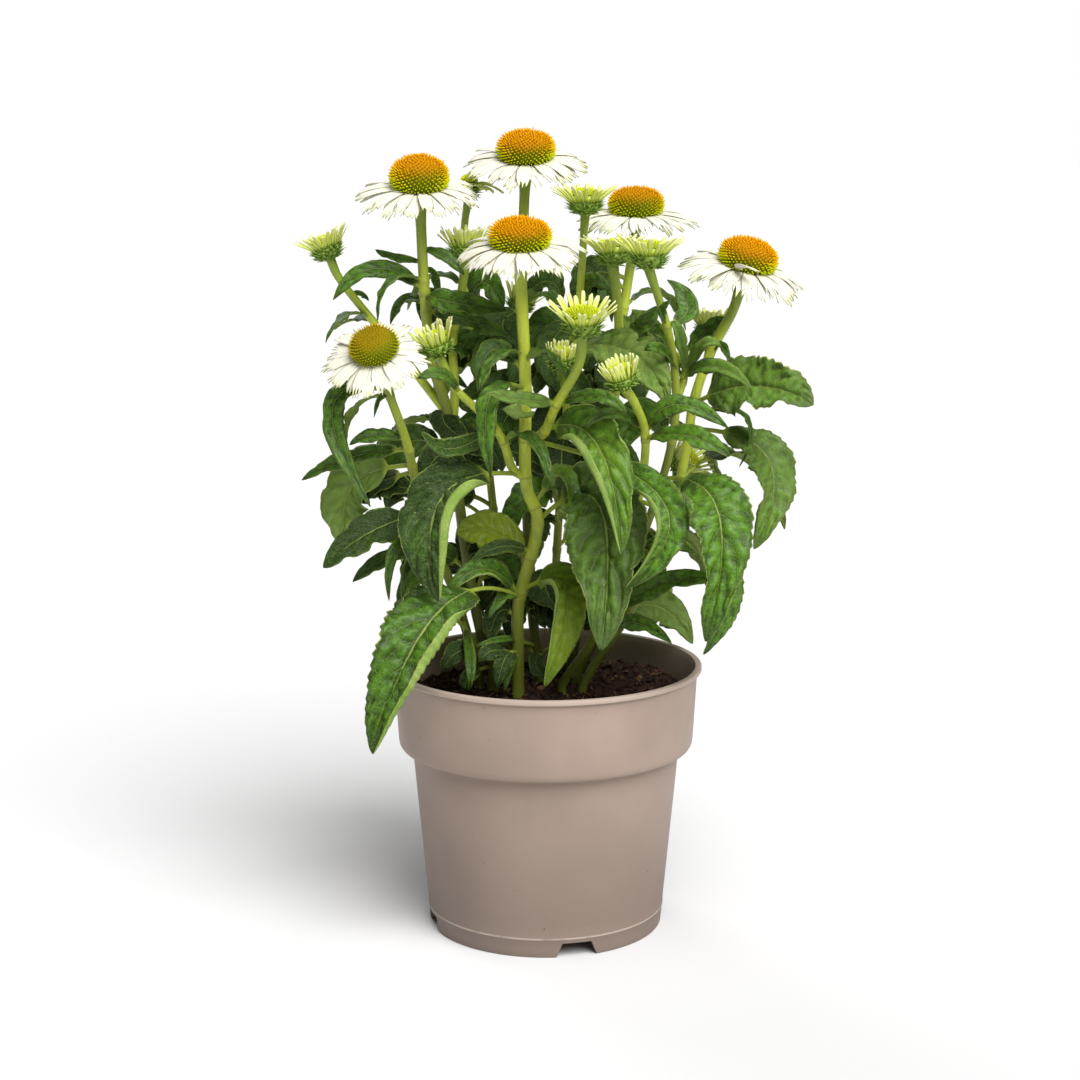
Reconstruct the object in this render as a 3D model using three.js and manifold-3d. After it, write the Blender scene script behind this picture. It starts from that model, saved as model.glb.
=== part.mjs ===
// Coneflower plant in a nursery pot, as THREE.Group of closed meshes.
// Millimetres, +Z up. The origin is the middle of the pot's foot, on the ground; -Y is the plant's front.
import * as THREE from "three";
import Module from "manifold-3d";

const wasm = await Module();
wasm.setup();

// ---- driving dimensions: pot and soil ----
const POT_SIDES = 30;
const FOOT_RADIUS = 71.4;
const FOOT_WIDTH = 4.4;
const WALL = 1.5;
const FLOOR_UNDERSIDE = 10;
const FLOOR_THICKNESS = 2;
const SHOULDER_HEIGHT = 112;
const SHOULDER_RADIUS = 81.7;
const COLLAR_FOOT_RADIUS = 90;
const COLLAR_TOP_RADIUS = 92.4;
const LIP_RADIUS = 95;
const LIP_HEIGHT = 4.5;
const POT_HEIGHT = 162.5;
const NOTCH = { first: -75, count: 4, foot: 26, top: 18, height: 9 };
const DRAIN_HOLES = { count: 4, radius: 5, ring: 44, sides: 6 };
const SOIL_SIDES = 20;
const SOIL_GAP = 0.4;
const SOIL_LEVEL = 141;
const SOIL_LUMP = 2.2;
const HOLE_DEPTH = 24;
const HOLE_CLEARANCE = 0.5;
const HOLE_SIDES = 6;

// ---- driving dimensions: stems, leaves and heads ----
const STEM_SIDES = 5;
const BLADE = 0.8;
const SEAT_GAP = 0.3;
const SHORTEST_EDGE = 0.01;
const BLOOM_RAYS = 16;
const RAY_LENGTH = 29;
const RAY_WIDTH = 8.8;
const RAY_THICKNESS = 0.7;
const HUB_HEIGHT = 1.8;
const CONE_RADIUS = 18;
const CONE_HEIGHT = 17;
const CONE_ROWS = 5;
const CONE_COLUMNS = 10;
const FLORET_RELIEF = 2;
const BUD_RAYS = 10;

const COLOURS = {
  pot: 0xb9a494,
  soil: 0x3a2820,
  leaf: 0x3f6f2d,
  ray: 0xf2f0df,
  cone: 0xd98a12,
  bud: 0xdde38a,
};

// ---- the plant ----
// Each stem: the leafy stem (node) it belongs to, radius at its foot and top, the path of its centre line
// from the ground or from the stem that it branches off, and the head that it carries.
// A head's lean is the direction that its axis points in, and tall makes its cone higher.
const STEMS = {
  front: {
    node: "stem_front", radii: [4, 3.5], planted: true,
    path: [[-17, 0, 150], [-17, -2, 177], [-16, -5, 203], [-5, -14, 250], [-12, -20, 278], [-12, -30, 335],
      [-15, -34, 408]],
    head: { name: "c", kind: "bloom", lean: [0, -0.27, 1], droop: 5, size: 1.03, tall: 0.9 },
  },
  frontBud: {
    node: "stem_front", radii: [2.9, 2.6],
    path: [[-11, -25, 301], [-1, -38, 309], [6, -56, 327], [18, -76, 351], [20, -84, 369]],
    head: { name: "m", kind: "bud", lean: [0, -0.25, 1], spread: 0.85, size: 1.1 },
  },
  frontSide: {
    node: "stem_front", radii: [2.7, 2.2],
    path: [[-12, -20, 279], [-20, -25, 286], [-26, -29, 304], [-38, -31, 319], [-53, -32, 334],
      [-62, -32, 353]],
    head: { name: "o", kind: "bud", lean: [-0.3, -0.15, 1], spread: 0.55, size: 0.95 },
  },
  left: {
    node: "stem_left", radii: [3.5, 3.1], planted: true,
    path: [[-33, 15, 150], [-42, 12, 188], [-48, 10, 224], [-54, 8, 273], [-59, 6, 315], [-68, 5, 346],
      [-72, 3, 388], [-74, 0, 440]],
    head: { name: "b", kind: "bloom", lean: [0, -0.26, 1], droop: 3, size: 1, tall: 1.15 },
  },
  leftEdge: {
    node: "stem_left", radii: [2.8, 2.3],
    path: [[-59, 6, 314], [-73, 14, 331], [-89, 18, 351], [-105, 18, 370], [-123, 18, 393], [-129, 18, 406]],
    head: { name: "h", kind: "bud", lean: [-0.35, 0, 1], spread: 0.9, size: 0.95 },
  },
  leftInner: {
    node: "stem_left", radii: [2.9, 2.6],
    path: [[-57, 7, 297], [-55, 14, 324], [-56, 19, 357], [-51, 22, 384], [-48, 22, 406]],
    head: { name: "i", kind: "bud", lean: [-0.05, 0, 1], spread: 0.65, size: 1 },
  },
  low: {
    node: "stem_low", radii: [3.4, 2.9], planted: true,
    path: [[-42, 20, 150], [-55, 4, 203], [-67, -8, 236], [-77, -25, 279], [-81, -38, 303], [-89, -54, 331],
      [-95, -62, 352]],
    head: { name: "f", kind: "bloom", lean: [-0.14, -0.6, 0.8], droop: 1, size: 0.82 },
  },
  top: {
    node: "stem_top", radii: [3.4, 3.1], planted: true,
    path: [[-4, 32, 150], [-9, 32, 195], [-12, 34, 259], [-16, 35, 321], [-15, 35, 381], [-13, 35, 440],
      [-12, 35, 457]],
    head: { name: "a", kind: "bloom", lean: [0, -0.32, 1], droop: 2, size: 1 },
  },
  topSide: {
    node: "stem_top", radii: [2, 1.7],
    path: [[-16, 35, 308], [-22, 48, 338], [-17, 57, 372]],
    head: { name: "s", kind: "bud", lean: [0.3, 0, 1], spread: 0.5, size: 0.85 },
  },
  back: {
    node: "stem_back", radii: [2.8, 2.2], planted: true,
    path: [[-19, 44, 150], [-29, 48, 216], [-38, 50, 298], [-47, 52, 367], [-50, 51, 416], [-47, 47, 443]],
    head: { name: "g", kind: "young", lean: [0.05, -0.1, 1] },
  },
  middle: {
    node: "stem_middle", radii: [2.9, 2.2], planted: true,
    path: [[4, 48, 150], [6, 46, 203], [10, 38, 273], [16, 28, 330], [20, 16, 379], [23, -1, 433]],
    head: { name: "j", kind: "bud", lean: [0, -0.05, 1], spread: 1, size: 1 },
  },
  middleLow: {
    node: "stem_middle", radii: [2.2, 1.9],
    path: [[12, 36, 290], [12, 14, 318], [9, -18, 344]],
    head: { name: "n", kind: "bud", lean: [0, -0.2, 1], spread: 0.2, size: 0.8 },
  },
  right: {
    node: "stem_right", radii: [3.2, 2.8], planted: true,
    path: [[16, 32, 150], [24, 33, 201], [33, 36, 264], [41, 40, 320], [47, 43, 369], [52, 45, 402],
      [55, 46, 424]],
    head: { name: "d", kind: "bloom", lean: [0, -0.16, 1], droop: 3, size: 0.97 },
  },
  rightFront: {
    node: "stem_right", radii: [2.9, 2.8],
    path: [[37, 38, 292], [42, 14, 327], [43, -5, 370], [39, -14, 404]],
    head: { name: "k", kind: "bud", lean: [0, 0, 1], spread: 1, size: 1 },
  },
  rightMid: {
    node: "stem_right_mid", radii: [3.1, 2.6], planted: true,
    path: [[24, 15, 150], [44, 8, 198], [63, -6, 255], [75, -18, 304], [75, -30, 341], [69, -42, 371],
      [58, -52, 404]],
    head: { name: "l", kind: "bud", lean: [0, 0, 1], spread: 1, size: 1.05 },
  },
  rightMidSide: {
    node: "stem_right_mid", radii: [1.9, 1.6],
    path: [[75, -22, 320], [80, -18, 333], [82, -14, 344]],
    head: { name: "t", kind: "bud", lean: [0, 0, 1], spread: 0.1, size: 0.5 },
  },
  outer: {
    node: "stem_outer", radii: [3.4, 3], planted: true,
    path: [[33, 2, 150], [57, 2, 194], [74, 0, 244], [84, -2, 293], [88, -4, 323], [98, -6, 353],
      [110, -8, 377], [115, -9, 395]],
    head: { name: "e", kind: "bloom", lean: [0.22, -0.26, 1], droop: 4, size: 1 },
  },
  outerBack: {
    node: "stem_outer", radii: [2, 1.7],
    path: [[86, -3, 308], [93, 20, 327], [101, 38, 358]],
    head: { name: "q", kind: "bud", lean: [0, 0, 1], spread: 0.7, size: 0.95 },
  },
  outerLow: {
    node: "stem_outer", radii: [2, 1.7],
    path: [[74, 1, 246], [79, 22, 260], [80, 32, 277]],
    head: { name: "r", kind: "bud", lean: [0.75, -0.45, 0.75], spread: 0.6, size: 1 },
  },
  near: {
    node: "stem_near", radii: [3.2, 2.4], planted: true,
    path: [[11, 0, 150], [28, -8, 178], [45, -22, 230], [55, -38, 275], [57, -52, 308], [51, -64, 327],
      [44, -70, 338]],
    head: { name: "p", kind: "bud", lean: [-0.3, -0.2, 1], spread: 0.35, size: 0.9 },
  },
};

// Leaves that hang or reach to a chosen place: stem, height of the root on it, a point half way along the
// leaf, the tip, the blade's width, the share of the length that is stalk, and the compass direction that
// the upper face looks to. Without one, it looks along the leaf.
const FRONT = -90;
const LEAVES = [
  // large leaves in front
  ["front", 204, [-61, -75, 210], [-98, -104, 134], 46, 0.3, -112],
  ["front", 281, [-59, -62, 274], [-61, -80, 217], 44, 0.18, -112],
  ["front", 252, [31, -46, 266], [31, -88, 190], 50, 0.15, FRONT],
  ["frontBud", 310, [29, -68, 305], [42, -94, 247], 33, 0.08, FRONT],
  ["near", 279, [95, -84, 273], [89, -104, 199], 37, 0.22, -78],
  ["near", 268, [101, -60, 238], [90, -76, 185], 22, 0.3, -60],
  ["front", 303, [65, -80, 276], [45, -86, 226], 24, 0.25, FRONT],
  ["outer", 321, [119, -36, 338], [152, -60, 329], 34, 0.12, FRONT],
  ["outer", 306, [131, -20, 290], [122, -36, 239], 31, 0.15, -60],
  ["rightFront", 350, [52, -32, 356], [60, -50, 328], 34, 0.1, FRONT],
  ["low", 288, [-116, -6, 271], [-118, -10, 234], 34, 0.15, FRONT],
  ["low", 257, [-102, -38, 250], [-130, -46, 230], 24, 0.12, FRONT],
  // leaves low on the front stem
  ["front", 208, [12, -36, 214], [-1, -58, 161], 24, 0.12],
  ["front", 204, [-36, -30, 226], [-59, -42, 213], 15, 0.1, FRONT],
  ["front", 230, [-34, -4, 248], [-53, -12, 253], 24, 0.1, FRONT],
  ["front", 262, [12, -28, 280], [17, -46, 241], 17, 0.12],
  // leaves high on the front stem and its branches
  ["front", 333, [-32, -62, 331], [-31, -68, 286], 15, 0.15],
  ["frontBud", 328, [-15, -68, 331], [-34, -76, 336], 11, 0.08, FRONT],
  ["frontSide", 311, [-54, -46, 300], [-71, -54, 311], 14, 0.08, FRONT],
  ["frontSide", 302, [-9, -48, 306], [4, -62, 280], 12, 0.1],
  // leaves round the left stems
  ["left", 388, [-101, -4, 401], [-125, -10, 383], 12, 0.06, FRONT],
  ["left", 394, [-91, -14, 394], [-98, -22, 372], 10, 0.06],
  ["left", 386, [-52, -10, 381], [-23, -4, 377], 17, 0.06, FRONT],
  ["left", 376, [-46, 6, 370], [-22, 10, 360], 13, 0.08, FRONT],
  ["left", 290, [-84, 8, 296], [-104, 12, 268], 24, 0.15, FRONT],
  ["left", 215, [-68, 24, 222], [-92, 22, 196], 24, 0.2, FRONT],
  ["low", 335, [-122, -54, 324], [-100, -66, 269], 14, 0.12, FRONT],
  ["low", 333, [-112, -34, 319], [-115, -38, 289], 11, 0.12],
  ["low", 298, [-114, -24, 292], [-145, -16, 277], 12, 0.1, FRONT],
  ["low", 236, [-94, -18, 231], [-115, -24, 217], 11, 0.1, FRONT],
  ["low", 193, [-66, -34, 190], [-80, -50, 172], 13, 0.15],
  // leaves round the right stems
  ["near", 309, [74, -66, 328], [103, -72, 315], 13, 0.06, FRONT],
  ["near", 307, [80, -82, 312], [102, -92, 302], 15, 0.06, FRONT],
  ["near", 188, [64, -46, 219], [101, -72, 228], 15, 0.15, FRONT],
  ["near", 183, [51, -40, 196], [73, -60, 188], 11, 0.15, FRONT],
  ["rightMid", 178, [66, 36, 190], [92, 32, 166], 25, 0.15, FRONT],
  ["rightMid", 371, [82, -30, 380], [70, -26, 396], 14, 0.1, FRONT],
  ["rightFront", 359, [54, -18, 366], [65, -24, 381], 14, 0.08, FRONT],
  ["rightMidSide", 336, [93, 8, 360], [110, 16, 371], 13, 0.06, FRONT],
  ["rightMidSide", 338, [98, -42, 347], [117, -60, 336], 11, 0.06, FRONT],
  ["middle", 379, [27, 14, 393], [40, 10, 386], 11, 0.08, FRONT],
  // leaves in the shade between the stems
  ["top", 378, [-2, 14, 385], [10, 8, 377], 12, 0.08],
  ["top", 362, [-32, 22, 364], [-50, 14, 352], 14, 0.08, FRONT],
  ["top", 350, [-34, 12, 350], [-38, 2, 330], 20, 0.1, FRONT],
  ["top", 330, [8, 20, 336], [28, 12, 318], 22, 0.1, FRONT],
  ["top", 300, [-38, 24, 306], [-62, 28, 284], 24, 0.15, FRONT],
  ["middle", 288, [34, 14, 295], [58, 6, 274], 24, 0.15, FRONT],
  ["middle", 255, [-8, 20, 262], [-28, 10, 236], 24, 0.15, FRONT],
  ["right", 225, [52, 24, 234], [74, 18, 210], 24, 0.15, FRONT],
  ["back", 250, [-60, 40, 258], [-84, 30, 232], 25, 0.2, FRONT],
  ["outer", 262, [98, 2, 268], [112, -8, 240], 19, 0.15, -60],
  ["back", 375, [-38, 45, 390], [-26, 42, 374], 20, 0.1, FRONT],
  ["left", 352, [-50, 22, 354], [-30, 22, 334], 24, 0.1, FRONT],
  ["middle", 350, [2, 26, 366], [-14, 20, 344], 24, 0.1, FRONT],
  ["right", 366, [31, 38, 388], [14, 32, 374], 22, 0.1, FRONT],
  ["right", 338, [60, 34, 360], [76, 26, 342], 22, 0.1, FRONT],
  ["right", 200, [44, 26, 222], [60, 14, 198], 26, 0.15, FRONT],
  ["left", 200, [-28, 18, 222], [-14, 12, 194], 24, 0.15, FRONT],
  ["rightMid", 300, [56, -6, 314], [42, -12, 290], 24, 0.1, FRONT],
];

// Leaves that simply arch out: stem, height of the root, compass direction, reach, drop of the tip below
// the root, width and share of stalk.
const ARCHED_LEAVES = [
  ["top", 300, 100, 74, 34, 30, 0.15],
  ["top", 250, 68, 82, 30, 35, 0.25],
  ["top", 345, 70, 56, 20, 20, 0.1],
  ["top", 215, 95, 76, 26, 34, 0.3],
  ["back", 235, 140, 80, 34, 34, 0.3],
  ["back", 290, 175, 80, 26, 28, 0.2],
  ["back", 330, 115, 64, 24, 24, 0.15],
  ["back", 385, 150, 44, 14, 14, 0.1],
  ["back", 195, 165, 74, 22, 30, 0.3],
  ["left", 340, 130, 48, 16, 16, 0.1],
  ["middle", 225, 35, 84, 26, 34, 0.3],
  ["right", 290, 20, 80, 34, 32, 0.2],
  ["right", 335, 70, 62, 22, 24, 0.15],
  ["right", 250, 78, 78, 40, 31, 0.25],
  ["right", 375, 30, 46, 16, 14, 0.1],
  ["outer", 275, 25, 74, 36, 30, 0.2],
  ["outer", 225, 55, 66, 30, 26, 0.2],
  ["right", 190, 45, 82, 18, 34, 0.35],
];

// ---- helpers ----
const radians = (degrees) => (degrees * Math.PI) / 180;
const vec = ([x, y, z]) => new THREE.Vector3(x, y, z);
const compass = (degrees, up = 0) =>
  new THREE.Vector3(Math.cos(radians(degrees)), Math.sin(radians(degrees)), up);

// A repeatable draw between -1 and 1.
let drawState = 7;
function draw() {
  drawState = (drawState * 16807) % 2147483647;
  return (drawState / 2147483647) * 2 - 1;
}

function geometryOf(points, triangles) {
  const geometry = new THREE.BufferGeometry();
  geometry.setAttribute("position", new THREE.Float32BufferAttribute(points.flatMap((p) => p.toArray()), 3));
  geometry.setIndex(triangles.flat());
  return geometry;
}

// Closed skin over rings of equal length. A ring runs anticlockwise when seen from the far end.
// crossed lists the columns whose quads are split along the other diagonal.
function loft(rings, crossed = []) {
  const sides = rings[0].length;
  const at = (ring, side) => ring * sides + (side % sides);
  const triangles = [];
  for (let ring = 0; ring + 1 < rings.length; ring++) {
    for (let side = 0; side < sides; side++) {
      const [a, b, c, d] = [at(ring, side), at(ring, side + 1), at(ring + 1, side + 1), at(ring + 1, side)];
      if (crossed.includes(side)) triangles.push([a, b, d], [b, c, d]);
      else triangles.push([a, b, c], [a, c, d]);
    }
  }
  const last = rings.length - 1;
  for (let side = 1; side + 1 < sides; side++) {
    triangles.push([at(0, 0), at(0, side + 1), at(0, side)]);
    triangles.push([at(last, 0), at(last, side), at(last, side + 1)]);
  }
  return geometryOf(rings.flat(), triangles);
}

function solidOf(geometry) {
  const mesh = new wasm.Mesh({
    numProp: 3,
    vertProperties: new Float32Array(geometry.attributes.position.array),
    triVerts: new Uint32Array(geometry.index.array),
  });
  mesh.merge();
  return new wasm.Manifold(mesh);
}

function latheSolid(outline, sides) {
  const lathe = new THREE.LatheGeometry(outline.map(([r, z]) => new THREE.Vector2(r, z)), sides);
  lathe.rotateX(Math.PI / 2);
  return solidOf(weld(lathe));
}

// One vertex for each place, and no flat triangles at the axis.
function weld(geometry) {
  const index = geometry.index?.array ?? [...Array(geometry.attributes.position.count).keys()];
  const places = new Map();
  const points = [];
  const position = geometry.attributes.position;
  const welded = [];
  for (let i = 0; i < position.count; i++) {
    const point = new THREE.Vector3().fromBufferAttribute(position, i);
    const key = point.toArray().map((v) => Math.round(v * 1000)).join();
    if (!places.has(key)) {
      places.set(key, points.length);
      points.push(point);
    }
    welded.push(places.get(key));
  }
  const triangles = [];
  for (let i = 0; i < index.length; i += 3) {
    const [a, b, c] = [0, 1, 2].map((k) => welded[index[i + k]]);
    if (a !== b && b !== c && c !== a) triangles.push([a, b, c]);
  }
  return geometryOf(points, triangles);
}

// Joins solids and keeps the one body that holds together, without its loose scraps.
function fuse(solids) {
  const bodies = wasm.Manifold.union(solids).simplify(SHORTEST_EDGE).decompose();
  bodies.sort((a, b) => b.volume() - a.volume());
  return bodies[0];
}

function meshOf(name, solid, colour, roughness) {
  const { vertProperties, triVerts } = solid.getMesh();
  const geometry = new THREE.BufferGeometry();
  geometry.setAttribute("position", new THREE.BufferAttribute(vertProperties, 3));
  geometry.setIndex(new THREE.BufferAttribute(triVerts, 1));
  geometry.computeVertexNormals();
  const mesh = new THREE.Mesh(geometry, new THREE.MeshStandardMaterial({ color: colour, roughness }));
  mesh.name = name;
  return mesh;
}

// ---- pot ----
function potSolid() {
  const inner = FOOT_RADIUS - FOOT_WIDTH;
  const floorTop = FLOOR_UNDERSIDE + FLOOR_THICKNESS;
  const outline = [
    [0, FLOOR_UNDERSIDE], [inner - 1, FLOOR_UNDERSIDE], [inner, 0], [FOOT_RADIUS, 0],
    [SHOULDER_RADIUS, SHOULDER_HEIGHT], [COLLAR_FOOT_RADIUS - 3, SHOULDER_HEIGHT + 0.5],
    [COLLAR_FOOT_RADIUS, SHOULDER_HEIGHT + 5], [COLLAR_TOP_RADIUS, POT_HEIGHT - LIP_HEIGHT - 1],
    [LIP_RADIUS, POT_HEIGHT - LIP_HEIGHT], [LIP_RADIUS, POT_HEIGHT],
    [COLLAR_TOP_RADIUS - WALL, POT_HEIGHT], [COLLAR_FOOT_RADIUS - WALL, SHOULDER_HEIGHT + WALL + 3],
    [SHOULDER_RADIUS - WALL, SHOULDER_HEIGHT + WALL], [FOOT_RADIUS - 3 * WALL, floorTop], [0, floorTop],
  ];
  const notch = new THREE.Shape([
    new THREE.Vector2(-NOTCH.foot / 2, -1), new THREE.Vector2(NOTCH.foot / 2, -1),
    new THREE.Vector2(NOTCH.top / 2, NOTCH.height), new THREE.Vector2(-NOTCH.top / 2, NOTCH.height),
  ]);
  let pot = latheSolid(outline, POT_SIDES);
  for (let i = 0; i < NOTCH.count; i++) {
    const cutter = new THREE.ExtrudeGeometry(notch, { depth: 14, bevelEnabled: false });
    cutter.rotateX(Math.PI / 2).translate(0, -(inner - 5), 0);
    cutter.rotateZ(radians(NOTCH.first + 90 + (i * 360) / NOTCH.count));
    pot = pot.subtract(solidOf(weld(cutter)));
  }
  for (let i = 0; i < DRAIN_HOLES.count; i++) {
    const hole = new THREE.CylinderGeometry(DRAIN_HOLES.radius, DRAIN_HOLES.radius, 8, DRAIN_HOLES.sides);
    const place = compass(((i + 0.5) * 360) / DRAIN_HOLES.count).multiplyScalar(DRAIN_HOLES.ring);
    hole.rotateX(Math.PI / 2).translate(place.x, place.y, FLOOR_UNDERSIDE + FLOOR_THICKNESS / 2);
    pot = pot.subtract(solidOf(weld(hole)));
  }
  return pot;
}

// ---- soil, with a lumpy top and a plain hole for each stem ----
function soilTop(x, y) {
  const lumps = Math.sin(x * 0.16 + 1) * Math.cos(y * 0.19) + 0.6 * Math.sin(x * 0.31 - y * 0.27);
  return SOIL_LEVEL + SOIL_LUMP * lumps;
}

function soilSolid() {
  const floor = FLOOR_UNDERSIDE + FLOOR_THICKNESS + SOIL_GAP;
  const topRadius = COLLAR_FOOT_RADIUS - WALL - SOIL_GAP;
  const outline = [
    [0, floor], [FOOT_RADIUS - 3 * WALL - 2 * SOIL_GAP, floor],
    [SHOULDER_RADIUS - WALL - 2 * SOIL_GAP, SHOULDER_HEIGHT + WALL + SOIL_GAP],
    [topRadius - SOIL_GAP, SHOULDER_HEIGHT + WALL + 3 + 2 * SOIL_GAP], [topRadius, SOIL_LEVEL],
    [topRadius * 0.78, SOIL_LEVEL], [topRadius * 0.55, SOIL_LEVEL], [topRadius * 0.3, SOIL_LEVEL],
    [0, SOIL_LEVEL],
  ];
  const plug = new THREE.LatheGeometry(outline.map(([r, z]) => new THREE.Vector2(r, z)), SOIL_SIDES);
  plug.rotateX(Math.PI / 2);
  const soil = weld(plug);
  const position = soil.attributes.position;
  for (let i = 0; i < position.count; i++) {
    if (position.getZ(i) < SOIL_LEVEL - 1) continue;
    position.setZ(i, soilTop(position.getX(i), position.getY(i)));
  }
  return solidOf(soil);
}

function stemHole({ path: [[x, y]], radii: [radius] }) {
  const wide = (radius + HOLE_CLEARANCE) / Math.cos(Math.PI / HOLE_SIDES);
  const hole = new THREE.CylinderGeometry(wide, wide, HOLE_DEPTH * 2, HOLE_SIDES);
  hole.rotateX(Math.PI / 2).translate(x, y, SOIL_LEVEL);
  return solidOf(weld(hole));
}

// ---- stems ----
function centreLine({ path, planted }) {
  const points = path.map(vec);
  if (planted) {
    const foot = points[0];
    points.unshift(foot.clone().setZ(SOIL_LEVEL - HOLE_DEPTH + 1), foot.clone().setZ(SOIL_LEVEL - 4));
  }
  return points;
}

function stemSolid(stem) {
  const points = centreLine(stem);
  const [foot, top] = stem.radii;
  const rings = points.map((point, i) => {
    const along = (points[i + 1] ?? point).clone().sub(points[i - 1] ?? point).normalize();
    const right = new THREE.Vector3(1, 0, 0).addScaledVector(along, -along.x).normalize();
    const back = along.clone().cross(right);
    const radius = foot + ((top - foot) * i) / (points.length - 1);
    return ringOf(STEM_SIDES, (turn) => point.clone()
      .addScaledVector(right, radius * Math.cos(turn))
      .addScaledVector(back, radius * Math.sin(turn)));
  });
  return solidOf(loft(rings));
}

const ringOf = (sides, place) => Array.from({ length: sides }, (_, i) => place((i * 2 * Math.PI) / sides));

function pointAtHeight(stem, height) {
  const points = centreLine(stem);
  for (let i = 0; i + 1 < points.length; i++) {
    const [low, high] = [points[i], points[i + 1]];
    if (height <= high.z) return low.clone().lerp(high, Math.max(0, (height - low.z) / (high.z - low.z)));
  }
  return points[points.length - 1].clone();
}

// ---- leaves: a stalk and a lance-shaped blade with a toothed, waved edge, folded up along its midrib ----
const BLADE_FOLD = 0.22;
const TOOTH = 0.16;
const WAVE = 0.1;
const STALK_HALF_WIDTH = 1.6;
const STALK_LIFT = 0.3;
const UPWARD = 0.6;
const bladeProfile = (s) => 2.43 * s ** 0.55 * (1 - s) ** 0.75;

function leafSolid(root, via, tip, width, stalk, face) {
  const bend = via.clone().multiplyScalar(2).addScaledVector(root, -0.5).addScaledVector(tip, -0.5);
  const midrib = new THREE.QuadraticBezierCurve3(root, bend, tip);
  const facing = compass(face, UPWARD).normalize();
  const bands = width > 19 ? 4 : width > 9 ? 3 : 2;
  const stations = [0];
  for (let i = 0; i <= bands; i++) stations.push(stalk + (1 - stalk) * (0.04 + (0.95 * i) / bands));
  const rings = stations.map((t, i) => {
    const along = midrib.getTangent(t);
    const across = along.clone().cross(facing).normalize();
    const up = across.clone().cross(along);
    const s = Math.max(0, (t - stalk) / (1 - stalk));
    const onBlade = i > 0;
    const tooth = onBlade && i % 2 ? 1 : 1 - TOOTH;
    const half = Math.max(onBlade ? 0.5 : STALK_HALF_WIDTH, (width / 2) * bladeProfile(s) * tooth);
    const thick = onBlade ? BLADE / 2 : BLADE * 0.8;
    const lift = onBlade ? half * (BLADE_FOLD + (i % 2 ? WAVE : -WAVE)) : STALK_LIFT;
    const place = ([u, v]) => midrib.getPoint(t).addScaledVector(across, u).addScaledVector(up, v);
    return [[0, thick], [half, lift + thick], [half, lift - thick], [0, -thick], [-half, lift - thick],
      [-half, lift + thick]].map(place);
  });
  return solidOf(loft(rings, [2, 5]));
}

function placedLeaf([stem, height, via, tip, width, stalk, face]) {
  const root = pointAtHeight(STEMS[stem], height);
  const reach = vec(tip).sub(root);
  const outward = (Math.atan2(reach.y, reach.x) * 180) / Math.PI;
  return leafSolid(root, vec(via), vec(tip), width, stalk, face ?? outward);
}

function archedLeaf([stem, height, direction, reach, drop, width, stalk]) {
  const root = pointAtHeight(STEMS[stem], height);
  const via = root.clone().addScaledVector(compass(direction), reach * 0.55);
  via.z += reach * 0.2 - drop * 0.1;
  const tip = root.clone().addScaledVector(compass(direction), reach);
  tip.z -= drop;
  return leafSolid(root, via, tip, width, stalk, direction);
}

// ---- heads ----
// Puts a solid that stands on the origin, +Z up, on the end of its stem.
function onStem(stem, solid) {
  const end = vec(stem.path[stem.path.length - 1]);
  const lean = vec(stem.head.lean).normalize();
  const turn = new THREE.Quaternion().setFromUnitVectors(new THREE.Vector3(0, 0, 1), lean);
  const place = new THREE.Matrix4().compose(end, turn, new THREE.Vector3(1, 1, 1));
  return solid.transform(place.toArray());
}

// A closed skin that is put together corner by corner.
class Skin {
  points = [];
  triangles = [];

  add(point) {
    return this.points.push(point) - 1;
  }

  // A flat face, its corners anticlockwise when seen from outside.
  face([first, ...rest]) {
    for (let i = 0; i + 1 < rest.length; i++) this.triangles.push([first, rest[i], rest[i + 1]]);
  }

  solid() {
    return solidOf(geometryOf(this.points, this.triangles));
  }
}

const aroundAxis = (turn, r, z) => compass(turn).multiplyScalar(r).setZ(z);

// Rows of pointed cells that wind up round the axis over an outline of [radius, height], each cell's point
// standing proud of the skin and drooping by sag. Returns the corners of the lowest and the highest row.
function pointedRows(skin, outline, columns, proud, sag = 0, lowest = null) {
  const step = 360 / columns;
  const rings = outline.map(([r, z], row) => (row === 0 && lowest) ||
    Array.from({ length: columns }, (_, column) => skin.add(aroundAxis((column + row / 2) * step, r, z))));
  for (let row = 0; row + 1 < outline.length; row++) {
    const [[r0, z0], [r1, z1]] = [outline[row], outline[row + 1]];
    const outward = new THREE.Vector2(z1 - z0, r0 - r1).setLength(proud);
    for (let column = 0; column < columns; column++) {
      const next = (column + 1) % columns;
      const corners = [rings[row][column], rings[row][next], rings[row + 1][next], rings[row + 1][column]];
      const turn = (column + row / 2 + 0.75) * step;
      const peak = skin.add(aroundAxis(turn, (r0 + r1) / 2 + outward.x, (z0 + z1) / 2 + outward.y - sag));
      corners.forEach((corner, i) => skin.triangles.push([corner, corners[(i + 1) % 4], peak]));
    }
  }
  return [rings[0], rings[rings.length - 1]];
}

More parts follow.
